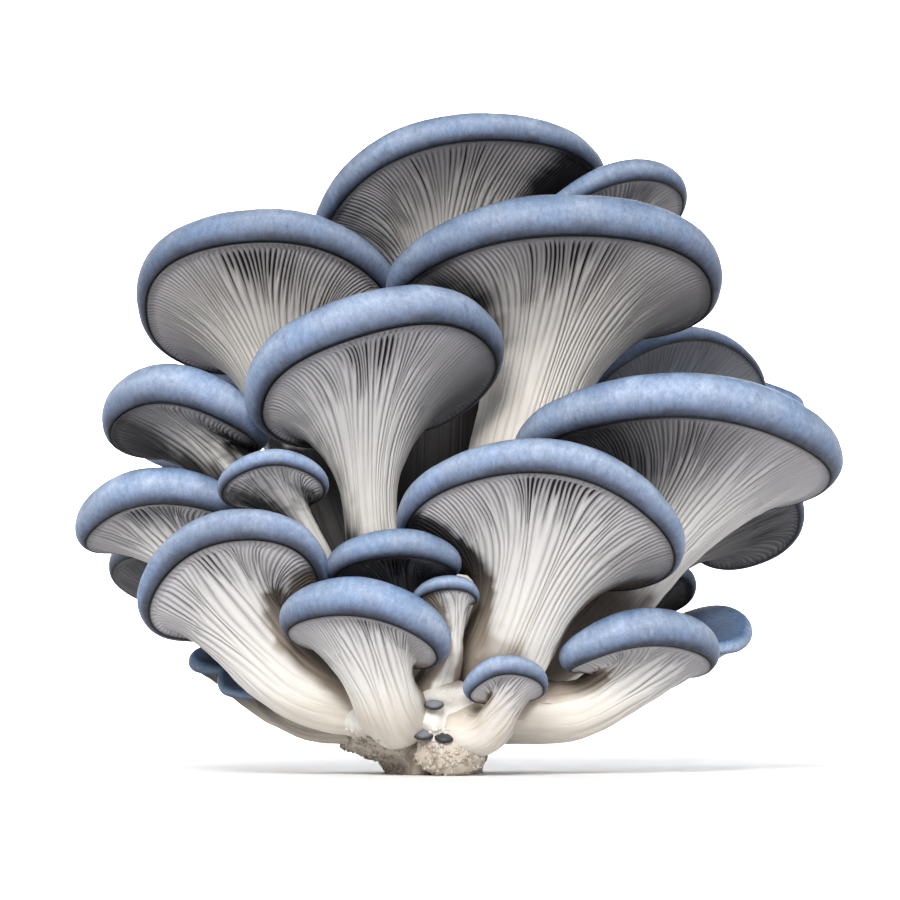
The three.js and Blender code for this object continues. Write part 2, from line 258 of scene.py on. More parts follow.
def joined(skins: Sequence[Skin]) -> tuple[Array, Array]:
    """Several skins as one mesh.

    Args:
        skins: the closed skins.

    Returns:
        Their points, in metres, and their triangles, facing outwards.
    """
    points, faces, start = [], [], 0
    for skin in skins:
        own = np.concatenate(skin.points) * MM
        points.append(own)
        faces.append(skin.outward(own) + start)
        start += len(own)
    return np.concatenate(points), np.concatenate(faces)


def mesh_of(name: str, points: Array, faces: Array) -> bpy.types.Mesh:
    """A smooth mesh of triangles.

    Args:
        name: the mesh's name.
        points: one row for each point, in metres.
        faces: one row of three point numbers for each triangle.

    Returns:
        The new mesh.
    """
    mesh = bpy.data.meshes.new(name)
    mesh.vertices.add(len(points))
    mesh.vertices.foreach_set("co", points.astype(np.float32).ravel())
    mesh.loops.add(faces.size)
    mesh.loops.foreach_set("vertex_index", faces.astype(np.int32).ravel())
    mesh.polygons.add(len(faces))
    mesh.polygons.foreach_set("loop_start", np.arange(0, faces.size, 3, dtype=np.int32))
    mesh.polygons.foreach_set("use_smooth", np.ones(len(faces), bool))
    mesh.update(calc_edges=True)
    return mesh


def link(name: str, mesh: bpy.types.Mesh) -> bpy.types.Object:
    """An object for a mesh, at the origin and in the scene.

    Args:
        name: the object's name.
        mesh: its mesh.

    Returns:
        The new object.
    """
    made = bpy.data.objects.new(name, mesh)
    bpy.context.collection.objects.link(made)
    return made


def around(count: int) -> Array:
    """Angles evenly round a full turn, in radians."""
    return np.arange(count) * (2 * math.pi / count)


# ---- node trees --------------------------------------------------------------


@dataclass(frozen=True)
class Cloud:
    """A pattern of noise: its scale, detail and roughness, and where it starts and is full."""

    scale: float
    detail: float
    rough: float
    start: float
    full: float


class Tree:
    """Short ways to lay out a shader or geometry node tree."""

    def __init__(self, tree: bpy.types.NodeTree) -> None:
        """Takes the tree to build in."""
        self.tree = tree

    def node(self, kind: str, inputs: dict[str | int, Any] | None = None, **settings: Any) -> Any:
        """Adds a node.

        Args:
            kind: the node's type.
            inputs: for each input, by name or number, a socket to link or a value to set.
            settings: the node's own properties.

        Returns:
            The new node.
        """
        made = self.tree.nodes.new(kind)
        for name, value in settings.items():
            setattr(made, name, value)
        for name, value in (inputs or {}).items():
            self.feed(made.inputs[name], value)
        return made

    def feed(self, socket: Socket, value: Any) -> None:
        """Links an input to a socket, or sets its value.

        Args:
            socket: the input.
            value: the socket to link, or the value to set.
        """
        if isinstance(value, bpy.types.NodeSocket):
            self.tree.links.new(value, socket)
        else:
            socket.default_value = value

    def math(self, operation: str, *terms: Any, clamp: bool = False) -> Socket:
        """The result of a Math node.

        Args:
            operation: what the node does.
            terms: its inputs in order, each a socket or a number.
            clamp: True to keep the result from 0 to 1.

        Returns:
            The node's output socket.
        """
        made = self.node("ShaderNodeMath", dict(enumerate(terms)), operation=operation)
        made.use_clamp = clamp
        return made.outputs[0]

    def ramp(self, value: Any, low: Any, high: Any, to: tuple[Any, Any] = (0.0, 1.0),
             even: bool = True) -> Socket:
        """value from low to high taken to a new range.

        Args:
            value: the socket to read.
            low: where the run starts.
            high: where it ends.
            to: the results at low and at high.
            even: True for a run that eases in and out.

        Returns:
            The output socket.
        """
        made = self.node(
            "ShaderNodeMapRange",
            {"Value": value, "From Min": low, "From Max": high, "To Min": to[0], "To Max": to[1]},
            interpolation_type="SMOOTHSTEP" if even else "LINEAR",
        )
        return made.outputs["Result"]

    def mix(self, share: Any, first: Any, second: Any, blend: str = "MIX") -> Socket:
        """Two colours mixed.

        Args:
            share: how much of the second, a socket or a number.
            first: the first colour.
            second: the second colour.
            blend: how they mix.

        Returns:
            The colour output socket.
        """
        made = self.node("ShaderNodeMix", data_type="RGBA", blend_type=blend)
        self.feed(made.inputs["Factor"], share)
        self.feed(made.inputs[6], first)
        self.feed(made.inputs[7], second)
        return made.outputs[2]

    def shaded(self, colour: Any, shade: Socket) -> Socket:
        """A colour made darker or lighter by a shade near 1."""
        grey = self.node("ShaderNodeCombineColor", {0: shade, 1: shade, 2: shade})
        return self.mix(1.0, colour, grey.outputs[0], "MULTIPLY")

    def colours(self, value: Any, stops: Sequence[tuple[float, Sequence[float]]]) -> Socket:
        """A colour ramp.

        Args:
            value: the socket to read.
            stops: places on the ramp, each with its colour.

        Returns:
            The colour output socket.
        """
        made = self.node("ShaderNodeValToRGB", {"Fac": value})
        ramp = made.color_ramp
        while len(ramp.elements) < len(stops):
            ramp.elements.new(0.5)
        for element, (place, colour) in zip(ramp.elements, stops):
            element.position = place
            element.color = (*colour, 1.0)
        return made.outputs["Color"]

    def noise(self, where: Socket, scale: Any, detail: float = 3.0, rough: float = 0.5) -> Socket:
        """The value of a noise.

        Args:
            where: the place to read it at.
            scale: how fine it is, a socket or a number.
            detail: how many finer layers it has.
            rough: how strong they are.

        Returns:
            The output socket.
        """
        made = self.node(
            "ShaderNodeTexNoise",
            {"Vector": where, "Scale": scale, "Detail": detail, "Roughness": rough},
        )
        return made.outputs[0]

    def cloud(self, where: Socket, kind: Cloud, to: tuple[Any, Any] = (0.0, 1.0)) -> Socket:
        """How strong a cloud is at a place, taken to a range."""
        value = self.noise(where, kind.scale, kind.detail, kind.rough)
        return self.ramp(value, kind.start, kind.full, to)

    def centred(self, value: Socket) -> Socket:
        """A value around a half, taken to run around nought."""
        return self.math("SUBTRACT", value, 0.5)

    def fibre(self, group: bpy.types.NodeTree, place: Socket, scale: float, strength: float) -> Any:
        """The shade and the height of the fine fibre group at a place, as the node's outputs."""
        return self.node("ShaderNodeGroup", {"Place": place, "Scale": scale, "Strength": strength},
                         node_tree=group).outputs

    def bump(self, height: Socket, strength: float, distance: float) -> Socket:
        """The normal of a surface with that height, at most a distance in metres."""
        return self.node("ShaderNodeBump", {"Strength": strength, "Distance": distance,
                                            "Height": height}).outputs[0]

    def moved(self, geometry: Socket, way: Socket, far: Socket) -> Socket:
        """Geometry with every point moved.

        Args:
            geometry: the geometry to move.
            way: the direction, as a vector.
            far: how far along it, in metres.

        Returns:
            The moved geometry.
        """
        offset = self.node("ShaderNodeVectorMath", {0: way, "Scale": far}, operation="SCALE")
        made = self.node("GeometryNodeSetPosition",
                         {"Geometry": geometry, "Offset": offset.outputs[0]})
        return made.outputs[0]

    def finished(self, geometry: Socket, material: Socket) -> Socket:
        """Geometry made real, with a material.

        Args:
            geometry: the geometry.
            material: its material.

        Returns:
            The finished geometry.
        """
        real = self.node("GeometryNodeRealizeInstances", {"Geometry": geometry})
        made = self.node("GeometryNodeSetMaterial",
                         {"Geometry": real.outputs[0], "Material": material})
        return made.outputs[0]


def new_group(name: str, kind: str, inputs: dict[str, str],
              outputs: dict[str, str]) -> tuple[bpy.types.NodeTree, Tree, Any]:
    """An empty node group.

    Args:
        name: the group's name.
        kind: the type of tree.
        inputs: the socket type of each named input.
        outputs: the socket type of each named output.

    Returns:
        The group, its layout, and the sockets that its inputs come in by.
    """
    group = bpy.data.node_groups.new(name, kind)
    for side, sockets in (("INPUT", inputs), ("OUTPUT", outputs)):
        for socket, socket_type in sockets.items():
            group.interface.new_socket(name=socket, in_out=side, socket_type=socket_type)
    lay = Tree(group)
    return group, lay, lay.node("NodeGroupInput").outputs


def new_rule(name: str, inputs: dict[str, str]) -> tuple[bpy.types.NodeTree, Tree, Any]:
    """An empty group that reworks a mesh, with the inputs it needs besides the mesh itself."""
    mesh = {"Geometry": "NodeSocketGeometry"}
    return new_group(name, "GeometryNodeTree", mesh | inputs, mesh)


def grow(target: bpy.types.Object, tree: bpy.types.NodeTree,
         sizes: dict[str, Any]) -> bpy.types.Mesh:
    """Runs a geometry tree on an object.

    Args:
        target: the object whose mesh the tree starts from.
        tree: the geometry node tree.
        sizes: a value for each named input.

    Returns:
        The result as a plain mesh of its own.
    """
    modifier = target.modifiers.new(tree.name, "NODES")
    modifier.node_group = tree
    for item in tree.interface.items_tree:
        if item.item_type == "SOCKET" and item.in_out == "INPUT" and item.name in sizes:
            modifier[item.identifier] = sizes[item.name]
    graph = bpy.context.evaluated_depsgraph_get()
    mesh = bpy.data.meshes.new_from_object(
        target.evaluated_get(graph), preserve_all_data_layers=True, depsgraph=graph)
    target.modifiers.remove(modifier)
    return mesh


def settle(target: bpy.types.Object, mesh: bpy.types.Mesh) -> None:
    """Gives an object a finished mesh in place of the one it was grown from.

    Args:
        target: the object.
        mesh: its finished mesh.
    """
    old = target.data
    mesh.name = target.name
    target.data = mesh
    bpy.data.meshes.remove(old)
    mesh.polygons.foreach_set("use_smooth", np.ones(len(mesh.polygons), bool))
    mesh.update()


@dataclass(frozen=True)
class ValleyOrder:
    """One order of valleys: how many to a fold, where they start, the range they end in, a seed."""

    each: float
    shift: float
    ends: tuple[float, float]
    seed: int


VALLEY_ORDERS = (
    ValleyOrder(1.0, 0.0, (1.15, 2.0), 1),
    ValleyOrder(1.0, 0.5, (0.55, 1.25), 2),
    ValleyOrder(2.0, 0.5, (0.3, 0.62), 3),
)
VALLEY_WIDTH = (0.072, 0.17)  # half width of a valley under the rim and at the neck, in folds
VALLEY_CUT = (0.5, 1.0)  # least and most of the full depth that a valley is cut to
VALLEY_RUNOUT = 0.2  # length that a valley takes to run out, as a share of the gills' length
APEX_CUT = 0.9  # how much deeper the valleys go in the dark below the lip
WANDER_NOISE = (160.0, 2.0)  # scale and detail of the unevenness of the body


def gill_tree() -> bpy.types.NodeTree:
    """The rule that sinks the valleys between gills into a smooth body.

    Valleys come in three orders. The first run all the way into the stem, the second end above
    the neck and the third end half way to it, so that gills pair up and merge on their way down.

    Returns:
        The geometry node tree.
    """
    tree, lay, given = new_rule("Gills", {
        "Depth": "NodeSocketFloat", "Unevenness": "NodeSocketFloat", "Folds": "NodeSocketInt",
        "Seed": "NodeSocketInt", "Flesh": "NodeSocketMaterial"})

    def layer(name: str, kind: str = "FLOAT") -> Socket:
        """The named layer of the skin."""
        made = lay.node("GeometryNodeInputNamedAttribute", {"Name": name}, data_type=kind)
        return made.outputs["Attribute"]

    across, down, gap = layer("across"), layer("down"), layer("gap")
    width = lay.math("MULTIPLY", lay.ramp(down, 0.0, 1.0, VALLEY_WIDTH, even=False),
                     lay.math("ADD", gap, 1.0))

    def valleys(order: ValleyOrder) -> Socket:
        """One order of valleys.

        Args:
            order: which valleys.

        Returns:
            How deep in one of them each point lies, from 0 to 1.
        """
        each = order.each
        place = lay.math("ADD", lay.math("MULTIPLY", across, each), order.shift)
        cell = lay.math("ROUND", place)
        apart = lay.math("DIVIDE", lay.math("ABSOLUTE", lay.math("SUBTRACT", place, cell)), each)
        bump = lay.math("SUBTRACT", 1.0, lay.math("DIVIDE", apart, width), clamp=True)
        whole = lay.math("FLOORED_MODULO", cell, lay.math("MULTIPLY", given["Folds"], each))

        def chance(low: float, high: float, more: int) -> Socket:
            """A random number for each valley.

            Args:
                low: the least.
                high: the most.
                more: what is added to the seed.

            Returns:
                The output socket.
            """
            seed = lay.math("ADD", given["Seed"], float(order.seed + more))
            made = lay.node("FunctionNodeRandomValue",
                            {2: low, 3: high, "ID": whole, "Seed": seed}, data_type="FLOAT")
            return made.outputs[1]

        end = chance(*order.ends, 0)
        run = lay.ramp(down, lay.math("SUBTRACT", end, VALLEY_RUNOUT), end, (1.0, 0.0))
        deep = lay.math("MULTIPLY", bump, chance(*VALLEY_CUT, 7))
        return lay.math("MULTIPLY", deep, run)

    first, second, third = (valleys(order) for order in VALLEY_ORDERS)
    sunk = lay.math("MAXIMUM", first, lay.math("MAXIMUM", second, third))
    where = lay.node("GeometryNodeInputPosition").outputs[0]
    depth = lay.math("MULTIPLY", lay.math("MULTIPLY", sunk, layer("room")), given["Depth"])
    depth = lay.math("MULTIPLY", depth, lay.math("MULTIPLY_ADD", gap, APEX_CUT, 1.0))
    wander = lay.math("MULTIPLY", lay.centred(lay.noise(where, *WANDER_NOISE)), given["Unevenness"])
    wander = lay.math("MULTIPLY", wander, lay.ramp(down, 0.0, 0.3))
    moved = lay.moved(given["Geometry"], layer("inward", "FLOAT_VECTOR"),
                      lay.math("ADD", depth, wander))
    kept = lay.node("GeometryNodeStoreNamedAttribute",
                    {"Geometry": moved, "Name": "valley", "Value": sunk},
                    data_type="FLOAT", domain="POINT")
    lay.node("NodeGroupOutput", {"Geometry": lay.finished(kept.outputs[0], given["Flesh"])})
    return tree


SWELL_NOISE = (70.0, 1.0)  # scale and detail of the broad swellings of a cap
DIMPLE_NOISE = (420.0, 2.0)  # the same for its small dimples


def dimple_tree() -> bpy.types.NodeTree:
    """The rule that makes a cap's skin a little uneven.

    Returns:
        The geometry node tree.
    """
    tree, lay, given = new_rule("Cap skin", {
        "Swell": "NodeSocketFloat", "Dimple": "NodeSocketFloat", "Skin": "NodeSocketMaterial"})
    where = lay.node("GeometryNodeInputPosition").outputs[0]
    swell = lay.math("MULTIPLY", lay.centred(lay.noise(where, *SWELL_NOISE)), given["Swell"])
    dimple = lay.math("MULTIPLY", lay.centred(lay.noise(where, *DIMPLE_NOISE)), given["Dimple"])
    free = lay.node("GeometryNodeInputNamedAttribute", {"Name": "free"}, data_type="FLOAT")
    out = lay.math("MULTIPLY", lay.math("ADD", swell, dimple), free.outputs["Attribute"])
    normal = lay.node("GeometryNodeInputNormal").outputs[0]
    moved = lay.moved(given["Geometry"], normal, out)
    lay.node("NodeGroupOutput", {"Geometry": lay.finished(moved, given["Skin"])})
    return tree


TEAR_NOISE = (170.0, 4.0, 0.6)  # scale, detail and roughness of the torn foot
FRAY_NOISE = (620.0, 3.0)  # scale and detail of the finer tears
FRAY_SHARE = 0.4  # depth of the finer tears, as a share of the others'
UNTORN = 0.12  # how ragged the base stays above its foot, as a share
TEAR_FADE = 0.75  # height where the tears start to fade, as a share of the foot's
CRUMB_PATCHES = (90.0, 2.0)  # scale and detail of the patches that the crumbs lie in
CRUMB_CUT = 0.42  # least value of that noise where crumbs lie
CRUMB_LEAST = (0.4, 0.3, 0.3)  # smallest and largest crumb, as shares of the crumb size
CRUMB_MOST = (1.25, 1.0, 0.9)
CRUMB_NOISE = (900.0, 2.0)  # scale and detail of what makes the crumbs lumpy
CRUMB_LUMPS = 1.1  # how lumpy they are, as a share of the crumb size
ANY_TURN = (6.28, 6.28, 6.28)  # most that a crumb is turned about each axis, in radians


def torn_tree() -> bpy.types.NodeTree:
    """The rule that tears the base's foot and sticks crumbs to it.

    Returns:
        The geometry node tree.
    """
    tree, lay, given = new_rule("Torn foot", {
        "Ragged": "NodeSocketFloat", "Top": "NodeSocketFloat", "Crumb size": "NodeSocketFloat",
        "Crumbs per area": "NodeSocketFloat", "Seed": "NodeSocketInt",
        "Flesh": "NodeSocketMaterial", "Crumb": "NodeSocketMaterial",
        "Pinheads": "NodeSocketObject"})
    where = lay.node("GeometryNodeInputPosition").outputs[0]
    height = lay.node("ShaderNodeSeparateXYZ", {0: where}).outputs[2]
    foot = lay.ramp(height, lay.math("MULTIPLY", given["Top"], TEAR_FADE), given["Top"],
                    (1.0, UNTORN))
    fray = lay.math("MULTIPLY", lay.centred(lay.noise(where, *FRAY_NOISE)), FRAY_SHARE)
    rough = lay.math("ADD", lay.centred(lay.noise(where, *TEAR_NOISE)), fray)
    out = lay.math("MULTIPLY", lay.math("MULTIPLY", rough, given["Ragged"]), foot)
    normal = lay.node("GeometryNodeInputNormal").outputs[0]
    torn = lay.moved(given["Geometry"], normal, out)
    flesh = lay.node("GeometryNodeSetMaterial", {"Geometry": torn, "Material": given["Flesh"]})
    patches = lay.math("GREATER_THAN", lay.noise(where, *CRUMB_PATCHES), CRUMB_CUT)
    low = lay.math("MULTIPLY", lay.math("LESS_THAN", height, given["Top"]), patches)
    spread = lay.node("GeometryNodeDistributePointsOnFaces",
                      {"Mesh": torn, "Selection": low, "Density": given["Crumbs per area"],
                       "Seed": given["Seed"]})
    ball = lay.node("GeometryNodeMeshIcoSphere", {"Radius": given["Crumb size"], "Subdivisions": 1})
    size = lay.node("FunctionNodeRandomValue",
                    {0: CRUMB_LEAST, 1: CRUMB_MOST, "Seed": given["Seed"]},
                    data_type="FLOAT_VECTOR")
    spin = lay.node("FunctionNodeRandomValue", {1: ANY_TURN, "Seed": given["Seed"]},
                    data_type="FLOAT_VECTOR")
    crumbs = lay.node("GeometryNodeInstanceOnPoints",
                      {"Points": spread.outputs["Points"], "Instance": ball.outputs["Mesh"],
                       "Rotation": spin.outputs[0], "Scale": size.outputs[0]})
    real = lay.node("GeometryNodeRealizeInstances", {"Geometry": crumbs.outputs[0]})
    lump = lay.math("MULTIPLY", lay.centred(lay.noise(where, *CRUMB_NOISE)),
                    lay.math("MULTIPLY", given["Crumb size"], CRUMB_LUMPS))
    broken = lay.node("GeometryNodeSetMaterial",
                      {"Geometry": lay.moved(real.outputs[0], normal, lump),
                       "Material": given["Crumb"]})
    buds = lay.node("GeometryNodeObjectInfo", {"Object": given["Pinheads"]})
    whole = lay.node("GeometryNodeJoinGeometry")
    for part in (buds.outputs["Geometry"], broken.outputs[0], flesh.outputs[0]):
        lay.feed(whole.inputs[0], part)
    lay.node("NodeGroupOutput", {"Geometry": whole.outputs[0]})
    return tree


# ---- finishes ----------------------------------------------------------------

Colour = tuple[float, float, float]


def new_material(name: str) -> tuple[bpy.types.Material, Tree, Any]:
    """An empty material with a Principled shader.

    Args:
        name: the material's name.

    Returns:
        The material, its tree, and the shader node.
    """
    material = bpy.data.materials.new(name)
    material.use_nodes = True
    material.node_tree.nodes.clear()
    lay = Tree(material.node_tree)
    shader = lay.node("ShaderNodeBsdfPrincipled")
    lay.node("ShaderNodeOutputMaterial", {"Surface": shader.outputs[0]})
    return material, lay, shader


def read_layer(lay: Tree, name: str, vector: bool = False) -> Socket:
    """A layer of the mesh, as a number or a vector."""
    made = lay.node("ShaderNodeAttribute", attribute_name=name)
    return made.outputs["Vector" if vector else "Fac"]


COARSE_FIBRE = (5.0, 0.62)  # detail and roughness of the coarse half of the fibre
FINE_FIBRE = (3.0, 0.6)  # the same for its fine half
FINER = 3.7  # how much smaller the fine half is
COARSE_SHARE = 0.6  # how much of the fibre is coarse


def mottle_group() -> bpy.types.NodeTree:
    """The uneven fine-fibred colour that caps, gills and base share.

    Returns:
        A shader node group that takes a place, a scale and a strength and puts out a shade near 1.
    """
    number = "NodeSocketFloat"
    tree, lay, given = new_group(
        "Fine fibre", "ShaderNodeTree",
        {"Place": "NodeSocketVector", "Scale": number, "Strength": number},
        {"Shade": number, "Height": number})
    coarse = lay.noise(given["Place"], given["Scale"], *COARSE_FIBRE)
    fine = lay.noise(given["Place"], lay.math("MULTIPLY", given["Scale"], FINER), *FINE_FIBRE)
    both = lay.math("ADD", lay.math("MULTIPLY", coarse, COARSE_SHARE),
                    lay.math("MULTIPLY", fine, 1 - COARSE_SHARE))
    strong = lay.math("MULTIPLY", lay.centred(both), given["Strength"])
    lay.node("NodeGroupOutput", {"Shade": lay.math("ADD", strong, 1.0), "Height": both})
    return tree


@dataclass(frozen=True)
class CapFinish:
    """The matte blue-grey skin of the caps.

    stops are its colours from the hollow (0) by the top of the rim (0.5) to the end of the skin
    (1): partly the cap's own blue, with a painted highlight across the middle of the roll and
    painted shade that darkens to near black towards its underside. A run is where something starts
    and ends on that band, and edge_run lays a painted shadow line where the skin ends. share dims
    the whole skin as painted shade, and full_hollow tells whether the hollow is spared the extra
    painted shade that dimmed skins get there. The clouds, patches and fibre are noises, each with
    how much it does.
    """

    name: str
    share: float = 1.0
    full_hollow: bool = False
    # From the cap's own blue into a painted highlight across the roll and painted shade under it.
    stops: tuple[tuple[float, Colour], ...] = (
        (0.0, (0.10, 0.135, 0.21)),
        (0.42, (0.10, 0.14, 0.225)),
        (0.54, (0.075, 0.13, 0.24)),
        (0.61, (0.115, 0.185, 0.315)),
        (0.70, (0.235, 0.305, 0.435)),
        (0.78, (0.285, 0.35, 0.475)),
        (0.87, (0.145, 0.185, 0.28)),
        (0.95, (0.055, 0.067, 0.10)),
        (1.0, (0.02, 0.021, 0.026)),
    )
    pale: Colour = (0.36, 0.42, 0.53)
    pale_clouds: Cloud = Cloud(2.6, 5.0, 0.65, 0.47, 0.68)
    pale_share: float = 0.26
    blue: Colour = (0.15, 0.25, 0.43)
    blue_clouds: Cloud = Cloud(0.9, 3.0, 0.5, 0.42, 0.68)
    blue_share: float = 0.42
    stain: Colour = (0.085, 0.08, 0.085)
    stain_clouds: Cloud = Cloud(4.2, 6.0, 0.75, 0.56, 0.72)
    stain_shares: tuple[float, float] = (0.12, 0.5)
    rim_run: tuple[float, float] = (0.5, 0.62)
    lip_run: tuple[float, float] = (0.84, 0.94)
    stain_run: tuple[float, float] = (0.6, 0.86)
    hollow_run: tuple[float, float] = (0.36, 0.5)
    # Where the painted shadow line at the skin's end falls on the band.
    edge_run: tuple[float, float] = (0.975, 0.995)
    patches: tuple[float, float, float] = (1.3, 4.0, 0.6)
    wander: float = 0.16
    last_place: float = 0.985
    fibre_scale: float = 11.0
    fibre_strength: float = 1.5
    patch_strength: float = 0.7
    roughness: float = 0.5
    sheen: float = 0.22

    def material(self, mottle: bpy.types.NodeTree) -> bpy.types.Material:
        """The finish as a material.

        Args:
            mottle: the shared fine fibre group.

        Returns:
            The new material.
        """
        material, lay, shader = new_material(self.name)
        band = lay.math("MULTIPLY", read_layer(lay, "band"), 0.5)
        weave = read_layer(lay, "weave", vector=True)
        fibre = lay.fibre(mottle, weave, self.fibre_scale, self.fibre_strength)
        patch = lay.centred(lay.noise(weave, *self.patches))
        place = lay.math("ADD", band, lay.math("MULTIPLY", patch, self.wander))
        # The band's colours carry a painted highlight across the roll and painted shade under it.
        skin = lay.colours(lay.math("MINIMUM", place, self.last_place), self.stops)
        on_rim = lay.math("MULTIPLY", lay.ramp(band, *self.rim_run),
                          lay.ramp(band, *self.lip_run, (1.0, 0.0)))
        pale = lay.math("MULTIPLY", lay.cloud(weave, self.pale_clouds), on_rim)
        skin = lay.mix(lay.math("MULTIPLY", pale, self.pale_share), skin, (*self.pale, 1.0))
        blue = lay.math("MULTIPLY", lay.cloud(weave, self.blue_clouds), on_rim)
        skin = lay.mix(lay.math("MULTIPLY", blue, self.blue_share), skin, (*self.blue, 1.0))
        stain = lay.math("MULTIPLY", lay.cloud(weave, self.stain_clouds),
                         lay.ramp(band, *self.stain_run, self.stain_shares))
        skin = lay.mix(stain, skin, (*self.stain, 1.0))
        # share dims the whole skin: painted shade.
        dull = lay.math("MULTIPLY_ADD", patch, self.patch_strength, 1.0)
        dull = lay.math("MULTIPLY", dull, self.share)
        skin = lay.shaded(skin, lay.math("MULTIPLY", fibre["Shade"], dull))
        # Painted shade in the hollow of dimmed skins, and a painted shadow line at the skin's end.
        darkest = (*self.stops[-1][1], 1.0)
        dim = 0.0 if self.full_hollow else 1.0 - self.share
        skin = lay.mix(lay.ramp(band, *self.hollow_run, (dim, 0.0)), skin, darkest)
        skin = lay.mix(lay.ramp(band, *self.edge_run), skin, darkest)
        lay.feed(shader.inputs["Base Color"], skin)
        rough = lay.ramp(fibre["Height"], 0.3, 0.7,
                         (self.roughness + 0.1, self.roughness - 0.06), even=False)
        lay.feed(shader.inputs["Roughness"], rough)
        lay.feed(shader.inputs["Normal"], lay.bump(fibre["Height"], 0.35, 0.00025))
        lay.feed(shader.inputs["Specular IOR Level"], self.sheen)
        return material


# The same cap skin with more or less painted shade, for where each mushroom sits in the cluster.
CAP_FINISHES = {
    PaintedShade.SUNNED: CapFinish("Dark cap skin", share=0.78, full_hollow=True),
    PaintedShade.OPEN: CapFinish("Blue cap skin"),
    PaintedShade.SHELTERED: CapFinish("Sheltered cap skin", share=0.82),
    PaintedShade.HIDDEN: CapFinish("Hidden cap skin", share=0.62),
}


